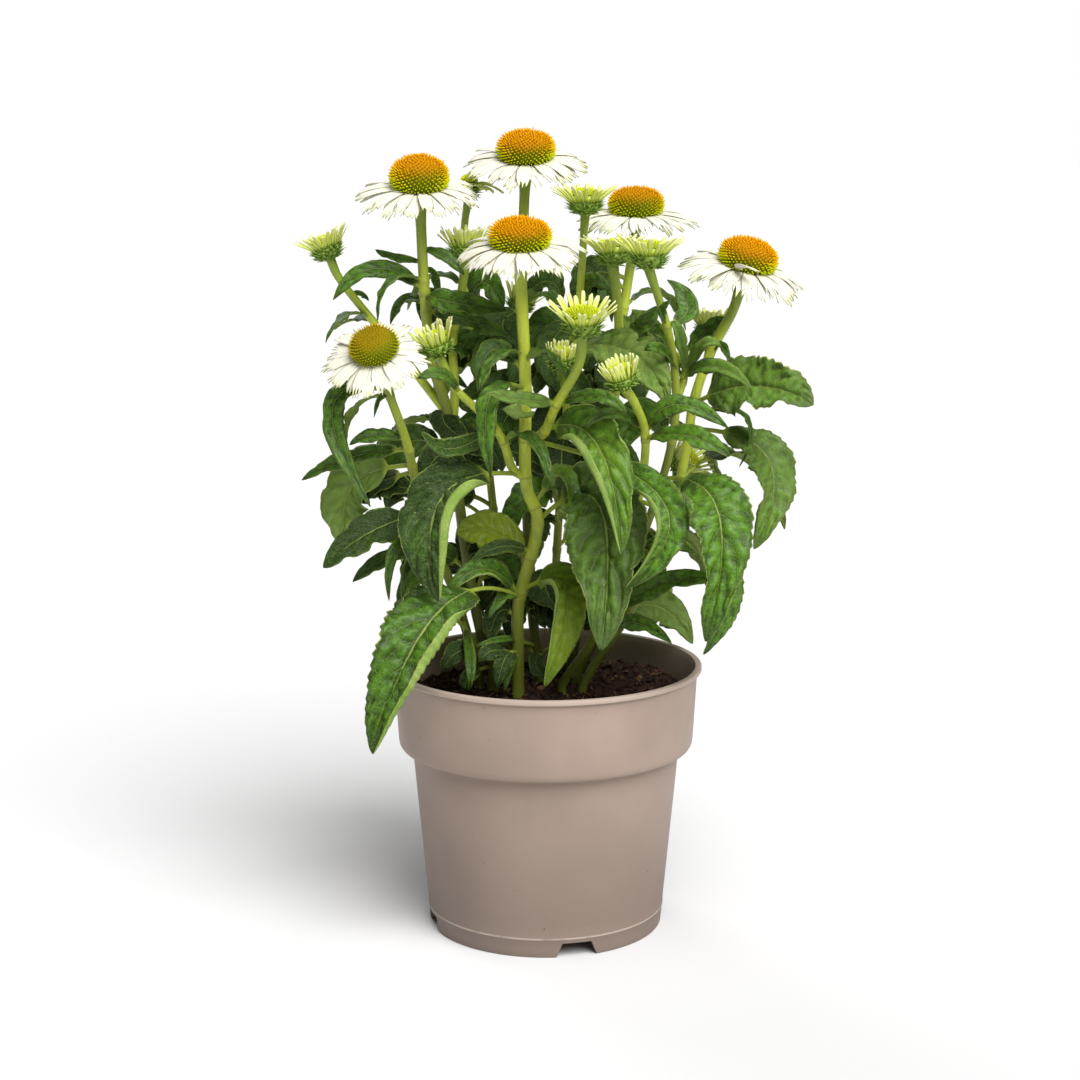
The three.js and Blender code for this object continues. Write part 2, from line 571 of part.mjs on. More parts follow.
// A thin blade that grows out of four corners of a skin: upper right, upper left, lower left, lower right.
// Its foot and its stations give the distance from the axis, half the width and the height. Its tip can have
// a notch.
function growRay(skin, root, turn, foot, stations, notch) {
  const side = compass(turn + 90);
  const at = (r, u, z) => skin.add(aroundAxis(turn, r, z).addScaledVector(side, u));
  let ring = root;
  stations.forEach(([r, half, z], i) => {
    const [r0, , z0] = stations[i - 1] ?? foot;
    const [r1, , z1] = stations[i + 1] ?? stations[i];
    const along = new THREE.Vector2(r1 - r0, z1 - z0).normalize();
    const [x, y] = [(-along.y * RAY_THICKNESS) / 2, (along.x * RAY_THICKNESS) / 2];
    const corner = (half, above) => at(r + x * above, half, z + y * above);
    const next = [corner(half, 1), corner(-half, 1), corner(-half, -1), corner(half, -1)];
    const [rightTop, leftTop, leftLow, rightLow] = ring;
    const [nextRightTop, nextLeftTop, nextLeftLow, nextRightLow] = next;
    skin.face([leftTop, leftLow, nextLeftLow, nextLeftTop]);
    skin.face([rightLow, rightTop, nextRightTop, nextRightLow]);
    if (i + 1 < stations.length || !notch) {
      skin.face([rightTop, leftTop, nextLeftTop, nextRightTop]);
      skin.face([leftLow, rightLow, nextRightLow, nextLeftLow].map((_, k, all) => all[(k + 1) % 4]));
    } else {
      const notchTop = at(r + x - along.x * notch, 0, z + y - along.y * notch);
      const notchLow = at(r - x - along.x * notch, 0, z - y - along.y * notch);
      skin.triangles.push(
        [leftTop, nextLeftTop, notchTop], [leftTop, notchTop, rightTop], [rightTop, notchTop, nextRightTop],
        [leftLow, notchLow, nextLeftLow], [leftLow, rightLow, notchLow], [rightLow, nextRightLow, notchLow],
      );
      skin.face([nextLeftLow, notchLow, notchTop, nextLeftTop]);
      skin.face([notchLow, nextRightLow, nextRightTop, notchTop]);
    }
    ring = next;
  });
  if (!notch) skin.face(ring);
}

// A ring of rays round a low hub. Returns the skin and the corners of the hub's upper edge.
function rayWhorl(count, hub, rayAt) {
  const skin = new Skin();
  const step = 360 / count;
  const edge = (z) => Array.from({ length: count }, (_, i) =>
    skin.add(aroundAxis((i - 0.5) * step, hub.radius, z)));
  const [low, top] = [edge(hub.low), edge(hub.top)];
  skin.face([...low].reverse());
  for (let i = 0; i < count; i++) {
    const next = (i + 1) % count;
    const { stations, notch } = rayAt(i);
    const foot = [hub.radius, 0, (hub.low + hub.top) / 2];
    growRay(skin, [top[next], top[i], low[i], low[next]], i * step, foot, stations, notch);
  }
  return [skin, top];
}

const scaled = (outline, size) => outline.map((row) => row.map((value) => value * size));

// The green cup of pointed bracts under a head, as [radius, height] from the stem's end.
const CUPS = {
  bloom: { outline: [[3.2, -1.5], [9, 3], [10, 6.2]], proud: 4.5, sag: 1 },
  young: { outline: [[3, -1.5], [7, 3], [7.5, 6]], proud: 3, sag: 0 },
  bud: { outline: [[3, -1.5], [9.5, 4], [10, 10]], proud: 4, sag: 0 },
};
const CUP_COLUMNS = 6;

function cupSolid(stem) {
  const { kind, size = 1 } = stem.head;
  const { outline, proud, sag } = CUPS[kind];
  const skin = new Skin();
  const [foot, rim] = pointedRows(skin, scaled(outline, size), CUP_COLUMNS, proud * size, sag);
  skin.face([...foot].reverse());
  skin.face(rim);
  return onStem(stem, skin.solid());
}

const cupTop = ({ head: { kind, size = 1 } }) => CUPS[kind].outline[2][1] * size + SEAT_GAP;

function bloomRays(stem) {
  const { droop, size } = stem.head;
  const low = cupTop(stem);
  const hub = { radius: 11.5 * size, low, top: low + HUB_HEIGHT };
  const [skin, top] = rayWhorl(BLOOM_RAYS, hub, (i) => {
    const upper = i % 2 ? 1 : -1;
    const length = RAY_LENGTH * size * (1 + 0.06 * draw());
    const fall = droop + (upper < 0 ? 3 : 0) + 1.2 * draw();
    const middle = (hub.low + hub.top) / 2;
    return {
      stations: [
        [hub.radius + length * 0.4, RAY_WIDTH * 0.5 * size, middle + upper * 1.1 - fall * 0.15],
        [hub.radius + length, RAY_WIDTH * 0.4 * size, middle + upper * 1.1 - fall],
      ],
      notch: 3.5,
    };
  });
  skin.face(top);
  return onStem(stem, skin.solid());
}

function coneOutline(radius, height, foot, rows) {
  const [low, high] = [radians(-25), radians(62)];
  const rise = height / (1 - Math.sin(low));
  return Array.from({ length: rows + 1 }, (_, row) => {
    const latitude = low + ((high - low) * row) / rows;
    return [radius * Math.cos(latitude), foot + rise * (Math.sin(latitude) - Math.sin(low))];
  });
}

function bloomCone(stem) {
  const { kind, size = 1, tall = 1 } = stem.head;
  const foot = cupTop(stem) + HUB_HEIGHT + SEAT_GAP;
  const young = kind === "young";
  const skin = new Skin();
  const relief = young ? 0.8 : FLORET_RELIEF;
  const radius = (young ? 6 : CONE_RADIUS) * size - relief;
  const height = (young ? 4 : CONE_HEIGHT * tall) * size;
  const [base, crown] = pointedRows(skin, coneOutline(radius, height, foot, young ? 2 : CONE_ROWS),
    young ? 7 : CONE_COLUMNS, relief);
  skin.face([...base].reverse());
  skin.face(crown);
  return onStem(stem, skin.solid());
}

function youngRays(stem) {
  const low = cupTop(stem);
  const [skin, top] = rayWhorl(BUD_RAYS, { radius: 7, low, top: low + HUB_HEIGHT }, () => ({
    stations: [[16.5 + draw(), 2, low + 1.4 + draw()]],
    notch: 2,
  }));
  skin.face(top);
  return onStem(stem, skin.solid());
}

function budSolid(stem) {
  const { spread, size } = stem.head;
  const low = cupTop(stem);
  const hub = { radius: 8.4 * size, low, top: low + HUB_HEIGHT };
  const [skin, top] = rayWhorl(BUD_RAYS, hub, () => {
    const lean = radians(12 + 48 * spread + 5 * draw());
    const length = 12.5 * size * (1 + 0.1 * draw());
    return {
      stations: [[hub.radius + length * Math.sin(lean), 1.6 * size, low + 0.8 + length * Math.cos(lean)]],
      notch: 0,
    };
  });
  const disc = [[hub.radius, hub.top], [hub.radius * 0.45, hub.top + 2 * size]];
  const [, crown] = pointedRows(skin, disc, BUD_RAYS, 1.6 * size, 0, top);
  skin.face(crown);
  return onStem(stem, skin.solid());
}

// ---- the plant in its pot ----
const plant = new THREE.Group();
plant.name = "coneflower";

const planted = Object.values(STEMS).filter((stem) => stem.planted);
plant.add(meshOf("pot", potSolid(), COLOURS.pot, 0.5));
const bored = planted.map(stemHole).reduce((soil, hole) => soil.subtract(hole), soilSolid());
plant.add(meshOf("soil", fuse([bored]), COLOURS.soil, 0.95));

const greenSolids = {};
const inNode = (stem, solids) => (greenSolids[stem.node] ??= []).push(...solids);
for (const stem of Object.values(STEMS)) inNode(stem, [stemSolid(stem), cupSolid(stem)]);
for (const leaf of LEAVES) inNode(STEMS[leaf[0]], [placedLeaf(leaf)]);
for (const leaf of ARCHED_LEAVES) inNode(STEMS[leaf[0]], [archedLeaf(leaf)]);
for (const [node, solids] of Object.entries(greenSolids)) {
  plant.add(meshOf(node, fuse(solids), COLOURS.leaf, 0.6));
}

for (const stem of Object.values(STEMS)) {
  const { name, kind } = stem.head;
  if (kind === "bloom") {
    plant.add(meshOf(`rays_${name}`, bloomRays(stem), COLOURS.ray, 0.6));
    plant.add(meshOf(`cone_${name}`, bloomCone(stem), COLOURS.cone, 0.7));
  } else if (kind === "young") {
    plant.add(meshOf(`rays_${name}`, youngRays(stem), COLOURS.bud, 0.6));
    plant.add(meshOf(`cone_${name}`, bloomCone(stem), COLOURS.bud, 0.7));
  } else {
    plant.add(meshOf(`bud_${name}`, budSolid(stem), COLOURS.bud, 0.6));
  }
}

export default plant;
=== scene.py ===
import math
from typing import NamedTuple

import bpy
import numpy as np
from bpy.props import FloatProperty, FloatVectorProperty, IntProperty, PointerProperty
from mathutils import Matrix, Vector, noise


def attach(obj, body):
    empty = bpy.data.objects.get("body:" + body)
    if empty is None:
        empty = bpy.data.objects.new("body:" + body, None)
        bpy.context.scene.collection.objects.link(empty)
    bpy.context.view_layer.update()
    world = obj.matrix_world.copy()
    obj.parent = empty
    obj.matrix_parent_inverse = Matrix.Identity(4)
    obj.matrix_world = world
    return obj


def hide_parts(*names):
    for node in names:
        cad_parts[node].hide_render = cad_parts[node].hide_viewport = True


bl_info = {
    "name": "Potted Coneflower",
    "version": (1, 0, 0),
    "blender": (4, 5, 0),
    "location": "3D View > Sidebar > Coneflower",
    "description": "A flowering coneflower in its nursery pot",
    "category": "Add Mesh",
}

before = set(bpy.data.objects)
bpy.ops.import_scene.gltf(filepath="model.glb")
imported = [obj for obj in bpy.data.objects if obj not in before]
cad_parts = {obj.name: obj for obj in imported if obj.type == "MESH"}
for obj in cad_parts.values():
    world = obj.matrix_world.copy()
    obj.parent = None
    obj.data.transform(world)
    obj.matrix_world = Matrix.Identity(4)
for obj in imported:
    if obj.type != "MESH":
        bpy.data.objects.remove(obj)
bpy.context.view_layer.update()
MM = 0.001
TURN = 2 * math.pi
UP = np.array([0.0, 0.0, 1.0])

# ---- the plant's plan, in millimetres from the middle of the pot's foot ----


class Head(NamedTuple):
    """What a stem carries. spread is an open flower's droop in millimetres, or how far a bud has opened."""
    name: str
    kind: str
    lean: tuple
    size: float
    spread: float
    tall: float = 1.0


class Stem(NamedTuple):
    """A stem or side branch, with its radii at foot and top and the points that it runs through."""
    node: str
    radii: tuple
    head: Head
    path: list


class Leaf(NamedTuple):
    """A leaf that reaches a chosen place. It holds the height of its root on its stem, a point half way,
    its tip, the share of its length that is stalk, and the bearing that its upper side faces."""
    stem: str
    height: float
    via: tuple
    tip: tuple
    width: float
    stalk: float = 0.1
    face: float = -90


class ArchedLeaf(NamedTuple):
    """A leaf that simply arches out. drop is how far its tip hangs below its root."""
    stem: str
    height: float
    bearing: float
    reach: float
    drop: float
    width: float
    stalk: float


OUT = None  # The upper side of a leaf with this face looks away from the stem.


STEMS = {
    "front": Stem("stem_front", (4, 3.5), Head("c", "bloom", (0, -0.27, 1), 1.03, 5, 0.9),
        [(-17, 0, 150), (-17, -2, 177), (-16, -5, 203), (-5, -14, 250),
         (-12, -20, 278), (-12, -30, 335), (-15, -34, 408)]),
    "frontBud": Stem("stem_front", (2.9, 2.6), Head("m", "bud", (0, -0.25, 1), 1.1, 0.85),
        [(-11, -25, 301), (-1, -38, 309), (6, -56, 327), (18, -76, 351), (20, -84, 369)]),
    "frontSide": Stem("stem_front", (2.7, 2.2), Head("o", "bud", (-0.3, -0.15, 1), 0.95, 0.55),
        [(-12, -20, 279), (-20, -25, 286), (-26, -29, 304),
         (-38, -31, 319), (-53, -32, 334), (-62, -32, 353)]),
    "left": Stem("stem_left", (3.5, 3.1), Head("b", "bloom", (0, -0.26, 1), 1, 3, 1.22),
        [(-33, 15, 150), (-42, 12, 188), (-48, 10, 224), (-54, 8, 273),
         (-59, 6, 315), (-68, 5, 346), (-72, 3, 388), (-74, 0, 440)]),
    "leftEdge": Stem("stem_left", (2.8, 2.3), Head("h", "bud", (-0.35, 0, 1), 0.95, 0.9),
        [(-59, 6, 314), (-73, 14, 331), (-89, 18, 351), (-105, 18, 370), (-123, 18, 393), (-129, 18, 406)]),
    "leftInner": Stem("stem_left", (2.9, 2.6), Head("i", "bud", (-0.05, 0, 1), 1, 0.65),
        [(-57, 7, 297), (-55, 14, 324), (-56, 19, 357), (-51, 22, 384), (-48, 22, 406)]),
    "low": Stem("stem_low", (3.2, 2.5), Head("f", "bloom", (-0.14, -0.6, 0.8), 0.82, 1),
        [(-42, 20, 150), (-55, 4, 203), (-67, -8, 236), (-77, -25, 279),
         (-81, -38, 303), (-89, -54, 331), (-95, -62, 352)]),
    "top": Stem("stem_top", (3.4, 3.1), Head("a", "bloom", (0, -0.32, 1), 1, 2),
        [(-4, 32, 150), (-9, 32, 195), (-12, 34, 259), (-16, 35, 321),
         (-15, 35, 381), (-13, 35, 440), (-12, 35, 457)]),
    "topSide": Stem("stem_top", (2, 1.7), Head("s", "bud", (0.3, 0, 1), 0.85, 0.5),
        [(-16, 35, 308), (-22, 48, 338), (-17, 57, 372)]),
    "back": Stem("stem_back", (2.8, 2.2), Head("g", "young", (0.05, -0.1, 1), 1, 0),
        [(-19, 44, 150), (-29, 48, 216), (-38, 50, 298), (-47, 52, 367), (-50, 51, 416), (-47, 47, 443)]),
    "middle": Stem("stem_middle", (2.9, 2.2), Head("j", "bud", (0, -0.05, 1), 1, 1),
        [(4, 48, 150), (6, 46, 203), (10, 38, 273), (16, 28, 330), (20, 16, 379), (23, -1, 433)]),
    "middleLow": Stem("stem_middle", (2.2, 1.9), Head("n", "bud", (0, -0.2, 1), 0.8, 0.2),
        [(12, 36, 290), (12, 14, 318), (9, -18, 344)]),
    "right": Stem("stem_right", (3.2, 2.8), Head("d", "bloom", (0, -0.16, 1), 0.97, 3),
        [(16, 32, 150), (24, 33, 201), (33, 36, 264), (41, 40, 320),
         (47, 43, 369), (52, 45, 402), (55, 46, 424)]),
    "rightFront": Stem("stem_right", (2.9, 2.8), Head("k", "bud", (0, 0, 1), 1, 1),
        [(37, 38, 292), (42, 14, 327), (43, -5, 370), (39, -14, 404)]),
    "rightMid": Stem("stem_right_mid", (2.5, 2.4), Head("l", "bud", (0, 0, 1), 1.05, 1),
        [(20, 18, 150), (42, 10, 198), (63, -6, 255), (75, -18, 304),
         (75, -30, 341), (69, -42, 371), (58, -52, 404)]),
    "rightMidSide": Stem("stem_right_mid", (1.9, 1.6), Head("t", "bud", (0, 0, 1), 0.5, 0.1),
        [(75, -22, 320), (80, -18, 333), (82, -14, 344)]),
    "outer": Stem("stem_outer", (2.7, 3), Head("e", "bloom", (0.22, -0.26, 1), 1, 4),
        [(24, 2, 150), (51, 2, 194), (73, 0, 244), (84, -2, 293),
         (88, -4, 323), (98, -6, 353), (110, -8, 377), (115, -9, 395)]),
    "outerBack": Stem("stem_outer", (2, 1.7), Head("q", "bud", (0, 0, 1), 0.95, 0.7),
        [(86, -3, 308), (93, 20, 327), (101, 38, 358)]),
    "outerLow": Stem("stem_outer", (2, 1.7), Head("r", "bud", (0.75, -0.45, 0.75), 1, 0.6),
        [(74, 1, 246), (79, 22, 260), (80, 32, 277)]),
    "near": Stem("stem_near", (2.7, 2.4), Head("p", "bud", (-0.3, -0.2, 1), 0.9, 0.35),
        [(11, 0, 150), (28, -8, 178), (45, -22, 230), (55, -38, 275),
         (57, -52, 308), (51, -64, 327), (44, -70, 338)]),
}
LEAVES = [Leaf(*row) for row in (
    ("front", 204, (-61, -75, 210), (-98, -104, 134), 46, 0.3, -112),
    ("front", 281, (-59, -62, 274), (-61, -80, 217), 44, 0.18, -112),
    ("front", 252, (31, -46, 266), (31, -88, 190), 54, 0.15),
    ("frontBud", 310, (29, -68, 305), (42, -94, 247), 33, 0.08),
    ("near", 279, (95, -84, 273), (89, -104, 199), 37, 0.22, -78),
    ("near", 268, (101, -60, 238), (90, -76, 185), 22, 0.3, -60),
    ("front", 303, (65, -80, 276), (45, -86, 226), 24, 0.25),
    ("outer", 321, (120, -36, 335), (152, -60, 327), 38, 0.12),
    ("outer", 306, (131, -20, 290), (122, -36, 239), 31, 0.15, -60),
    ("middle", 352, (50, -30, 353), (70, -44, 326), 30, 0.05),
    ("low", 288, (-116, -6, 271), (-118, -10, 234), 34, 0.15),
    ("low", 257, (-102, -38, 250), (-130, -46, 230), 24, 0.12),
    ("front", 208, (12, -36, 214), (-1, -58, 161), 27, 0.12, OUT),
    ("front", 204, (-36, -30, 226), (-59, -42, 213), 15),
    ("front", 230, (-33, -2, 243), (-54, -6, 243), 27),
    ("front", 262, (12, -28, 280), (17, -46, 241), 17, 0.12, OUT),
    ("front", 333, (-32, -62, 331), (-31, -68, 286), 15, 0.15, OUT),
    ("frontBud", 328, (-15, -68, 331), (-34, -76, 336), 11, 0.08),
    ("frontSide", 311, (-54, -46, 300), (-71, -54, 311), 14, 0.08),
    ("frontSide", 302, (-9, -48, 306), (4, -62, 280), 12, 0.1, OUT),
    ("left", 388, (-101, -4, 401), (-125, -10, 383), 12, 0.06),
    ("left", 394, (-91, -14, 394), (-98, -22, 372), 10, 0.06, OUT),
    ("left", 386, (-52, -10, 381), (-23, -4, 377), 17, 0.06),
    ("left", 376, (-46, 6, 370), (-22, 10, 360), 13, 0.08),
    ("left", 290, (-84, 8, 296), (-104, 12, 268), 24, 0.15),
    ("left", 215, (-68, 24, 222), (-92, 22, 196), 24, 0.2),
    ("low", 335, (-122, -54, 324), (-100, -66, 269), 14, 0.12),
    ("low", 333, (-112, -34, 319), (-115, -38, 289), 11, 0.12, OUT),
    ("low", 298, (-114, -24, 292), (-145, -16, 277), 12),
    ("low", 236, (-94, -18, 231), (-115, -24, 217), 11),
    ("low", 193, (-66, -34, 190), (-80, -50, 172), 13, 0.15, OUT),
    ("near", 309, (74, -66, 328), (103, -72, 315), 13, 0.06),
    ("near", 307, (80, -82, 312), (102, -92, 302), 15, 0.06),
    ("near", 188, (64, -46, 219), (101, -72, 228), 15, 0.15),
    ("near", 183, (51, -40, 196), (73, -60, 188), 11, 0.15),
    ("rightMid", 178, (66, 36, 190), (92, 32, 166), 25, 0.15),
    ("rightMid", 371, (82, -30, 380), (70, -26, 396), 14),
    ("rightFront", 359, (54, -18, 366), (65, -24, 381), 14, 0.08),
    ("rightMidSide", 336, (93, 8, 360), (110, 16, 371), 13, 0.06),
    ("rightMidSide", 338, (98, -42, 347), (117, -60, 336), 11, 0.06),
    ("middle", 379, (27, 14, 393), (40, 10, 386), 11, 0.08),
    ("top", 378, (-2, 14, 385), (10, 8, 377), 12, 0.08, OUT),
    ("top", 362, (-32, 22, 364), (-50, 14, 352), 14, 0.08),
    ("top", 350, (-34, 12, 350), (-38, 2, 330), 20),
    ("top", 330, (8, 20, 336), (28, 12, 318), 22),
    ("top", 300, (-38, 24, 306), (-62, 28, 284), 24, 0.15),
    ("middle", 288, (34, 14, 295), (58, 6, 274), 24, 0.15),
    ("middle", 255, (-8, 20, 262), (-28, 10, 236), 24, 0.15),
    ("right", 225, (52, 24, 234), (74, 18, 210), 24, 0.15),
    ("back", 250, (-60, 40, 258), (-84, 30, 232), 25, 0.2),
    ("outer", 262, (98, 2, 268), (112, -8, 240), 19, 0.15, -60),
    ("back", 375, (-38, 45, 390), (-26, 42, 374), 20),
    ("left", 352, (-50, 22, 354), (-30, 22, 334), 24),
    ("middle", 350, (2, 26, 366), (-14, 20, 344), 24),
    ("right", 366, (31, 38, 388), (14, 32, 374), 22),
    ("right", 338, (60, 34, 360), (76, 26, 342), 22),
    ("right", 200, (44, 26, 222), (60, 14, 198), 26, 0.15),
    ("left", 200, (-28, 18, 222), (-14, 12, 194), 24, 0.15),
    ("rightMid", 300, (56, -6, 314), (42, -12, 290), 24),
)]
ARCHED_LEAVES = [ArchedLeaf(*row) for row in (
    ("top", 300, 100, 74, 34, 30, 0.15),
    ("top", 250, 68, 82, 30, 35, 0.25),
    ("top", 345, 70, 56, 20, 20, 0.1),
    ("top", 215, 95, 76, 26, 34, 0.3),
    ("back", 235, 140, 80, 34, 34, 0.3),
    ("back", 290, 175, 80, 26, 28, 0.2),
    ("back", 330, 115, 64, 24, 24, 0.15),
    ("back", 385, 150, 44, 14, 14, 0.1),
    ("back", 195, 165, 74, 22, 30, 0.3),
    ("left", 340, 130, 48, 16, 16, 0.1),
    ("middle", 225, 35, 84, 26, 34, 0.3),
    ("right", 290, 20, 80, 34, 32, 0.2),
    ("right", 335, 70, 62, 22, 24, 0.15),
    ("right", 250, 78, 78, 40, 31, 0.25),
    ("right", 375, 30, 46, 16, 14, 0.1),
    ("outer", 275, 25, 74, 36, 30, 0.2),
    ("outer", 225, 55, 66, 30, 26, 0.2),
    ("right", 190, 45, 82, 18, 34, 0.35),
)]

# Small leaves that grow too fine for a solid.
SMALL_LEAVES = [Leaf(*row) for row in (
    ("front", 232, (-27, -22, 238), (-45, -32, 229), 10),
    ("front", 354, (-28, -48, 353), (-38, -58, 335), 11, 0.1, OUT),
    ("front", 349, (0, -48, 356), (12, -54, 340), 10, 0.1, OUT),
    ("leftEdge", 371, (-120, 8, 372), (-131, 2, 357), 11, 0.06, OUT),
    ("leftEdge", 369, (-118, 30, 368), (-129, 36, 362), 10, 0.06, OUT),
    ("rightMidSide", 338, (76, -52, 364), (71, -55, 374), 9, 0.06),
    ("rightMidSide", 340, (91, -34, 359), (101, -37, 358), 8, 0.06),
    ("rightFront", 348, (60, -20, 361), (70, -22, 352), 9, 0.06),
    ("rightMidSide", 337, (66, -48, 357), (56, -51, 357), 8, 0.06),
    ("outer", 316, (118, -14, 314), (114, -22, 286), 8, 0.1, OUT),
    ("middle", 367, (32, 0, 379), (39, -8, 370), 10, 0.08, OUT),
    ("front", 203, (-24, -18, 208), (-34, -28, 196), 9),
    ("frontBud", 326, (29, -76, 334), (45, -80, 324), 9, 0.08),
    ("frontSide", 331, (-60, -46, 343), (-74, -50, 341), 9, 0.08),
    ("left", 412, (-59, 0, 408), (-48, -2, 397), 8, 0.06),
    ("left", 380, (-85, 18, 381), (-94, 24, 366), 8, 0.06),
    ("low", 305, (-99, -46, 308), (-113, -52, 303), 9, 0.06),
    ("low", 233, (-86, -50, 244), (-91, -56, 212), 8),
    ("near", 311, (40, -62, 323), (22, -72, 316), 9, 0.08),
    ("rightFront", 356, (55, -22, 362), (69, -28, 356), 9, 0.08),
    ("rightMid", 233, (73, -22, 240), (89, -34, 236), 10),
    ("left", 400, (-67, 14, 396), (-64, 18, 381), 6, 0.06),
    ("left", 405, (-89, 4, 407), (-101, 4, 412), 6, 0.06),
    ("leftEdge", 385, (-112, 26, 384), (-107, 30, 380), 5, 0.06),
    ("outer", 353, (104, -14, 356), (107, -20, 346), 6, 0.06),
    ("top", 387, (-4, 30, 390), (7, 26, 400), 8, 0.06),
    ("low", 331, (-94, -58, 331), (-98, -60, 320), 4, 0.06),
    ("front", 177, (-28, -16, 180), (-42, -24, 178), 5),
    ("front", 170, (-22, -18, 160), (-25, -22, 149), 4),
    ("low", 186, (-45, -30, 171), (-46, -34, 153), 7),
    ("low", 231, (-78, -56, 235), (-83, -60, 211), 5),
    ("rightMid", 372, (66, -54, 380), (70, -60, 386), 6, 0.06),
    ("rightMid", 273, (82, -20, 266), (72, -26, 233), 14, 0.1, -60),
)]

# Leaves in the plant's shade and young shoots at its foot.
INNER_LEAVES = [Leaf(*row) for row in (
    ("left", 360, (-68, 22, 379), (-60, 16, 364), 20),
    ("back", 372, (-44, 30, 373), (-18, 24, 366), 17, 0.08),
    ("top", 374, (-26, 20, 366), (-15, 14, 355), 24, 0.08),
    ("back", 352, (-45, 30, 353), (-34, 24, 336), 25),
    ("front", 342, (-31, -34, 356), (-39, -40, 332), 14),
    ("middle", 372, (2, 12, 352), (7, 6, 330), 19),
    ("right", 345, (28, 22, 323), (21, 16, 304), 30),
    ("middle", 335, (16, 24, 328), (34, 18, 311), 30),
    ("right", 372, (51, 32, 367), (67, 26, 374), 16),
    ("right", 330, (50, 30, 329), (57, 24, 313), 22),
    ("left", 318, (-60, 2, 308), (-44, -4, 298), 20),
    ("left", 306, (-50, 2, 300), (-32, -4, 290), 22),
    ("top", 332, (-27, 26, 303), (-40, 20, 289), 24),
    ("middle", 322, (0, 26, 305), (9, 20, 298), 22),
    ("front", 318, (-14, -46, 321), (-25, -52, 324), 13),
    ("middle", 300, (10, 22, 280), (17, 16, 260), 25),
    ("right", 276, (32, 26, 284), (44, 20, 264), 27),
    ("right", 240, (44, 22, 249), (56, 16, 232), 25),
    ("low", 262, (-64, -14, 291), (-45, -20, 281), 20),
    ("left", 268, (-38, 4, 295), (-26, -2, 280), 22),
    ("back", 226, (-44, 34, 231), (-26, 28, 220), 25),
    ("front", 228, (-29, 8, 237), (-47, 2, 228), 22, 0.12),
    ("back", 216, (-73, 32, 220), (-82, 26, 203), 22, 0.15),
    ("top", 222, (-28, 24, 206), (-40, 18, 191), 26, 0.15),
    ("middle", 214, (0, 26, 204), (10, 20, 189), 26, 0.15),
    ("right", 206, (26, 20, 204), (36, 14, 188), 24, 0.15),
    ("left", 190, (-51, 8, 202), (-59, 2, 184), 22, 0.2),
    ("front", 190, (-28, -6, 195), (-34, -12, 176), 17, 0.2),
    ("middle", 190, (8, 26, 188), (18, 20, 172), 22, 0.2),
    ("top", 190, (-16, 22, 194), (-24, 16, 175), 22, 0.2),
    ("low", 284, (-108, 4, 270), (-121, -2, 263), 22, 0.12),
    ("low", 262, (-86, -8, 271), (-95, -14, 259), 17, 0.12),
    ("back", 364, (-58, 32, 365), (-64, 26, 349), 19),
    ("right", 392, (28, 36, 396), (17, 30, 382), 22),
    ("right", 386, (37, 36, 389), (41, 30, 373), 16),
    ("top", 380, (1, 26, 392), (10, 20, 381), 17),
    ("left", 158, (-55, 4, 189), (-73, -2, 202), 21, 0.55),
    ("back", 158, (-42, 32, 190), (-56, 26, 212), 22, 0.55),
    ("top", 158, (-22, 20, 187), (-14, 14, 212), 20, 0.55),
    ("right", 158, (19, 16, 181), (33, 10, 202), 22, 0.5),
    ("front", 165, (-30, -22, 175), (-40, -28, 169), 12, 0.3),
    ("front", 168, (-24, -24, 171), (-29, -30, 154), 12, 0.3),
    ("top", 165, (-29, 4, 175), (-36, -2, 167), 12, 0.3),
    ("middle", 160, (-6, 20, 158), (1, 14, 148), 12, 0.3),
    ("left", 160, (-50, -14, 173), (-63, -20, 161), 15, 0.2),
    ("left", 156, (-46, -18, 158), (-47, -24, 151), 10, 0.2),
    ("top", 350, (-57, 24, 344), (-47, 18, 328), 18),
    ("middle", 340, (-37, 18, 328), (-46, 12, 314), 16),
    ("top", 372, (-16, 18, 344), (-23, 12, 331), 14),
    ("middle", 366, (0, 14, 337), (-6, 8, 326), 12),
    ("right", 360, (29, 26, 351), (26, 20, 338), 18),
    ("right", 348, (38, 26, 335), (43, 20, 322), 18),
    ("top", 296, (-41, 24, 290), (-29, 18, 278), 26),
    ("low", 270, (-97, -4, 272), (-110, -10, 265), 20),
    ("left", 372, (-68, 18, 378), (-63, 12, 370), 15),
    ("top", 200, (-17, 24, 197), (-12, 18, 187), 18, 0.15),
    ("right", 196, (19, 24, 200), (26, 18, 192), 16, 0.15),
    ("right", 290, (34, 22, 290), (38, 16, 276), 20),
    ("middle", 268, (-21, 22, 289), (-26, 16, 278), 20),
    ("middle", 245, (-3, 24, 245), (0, 18, 234), 18),
    ("middle", 186, (-5, 26, 193), (0, 20, 179), 16),
    ("right", 212, (13, 22, 196), (9, 16, 184), 14),
)]

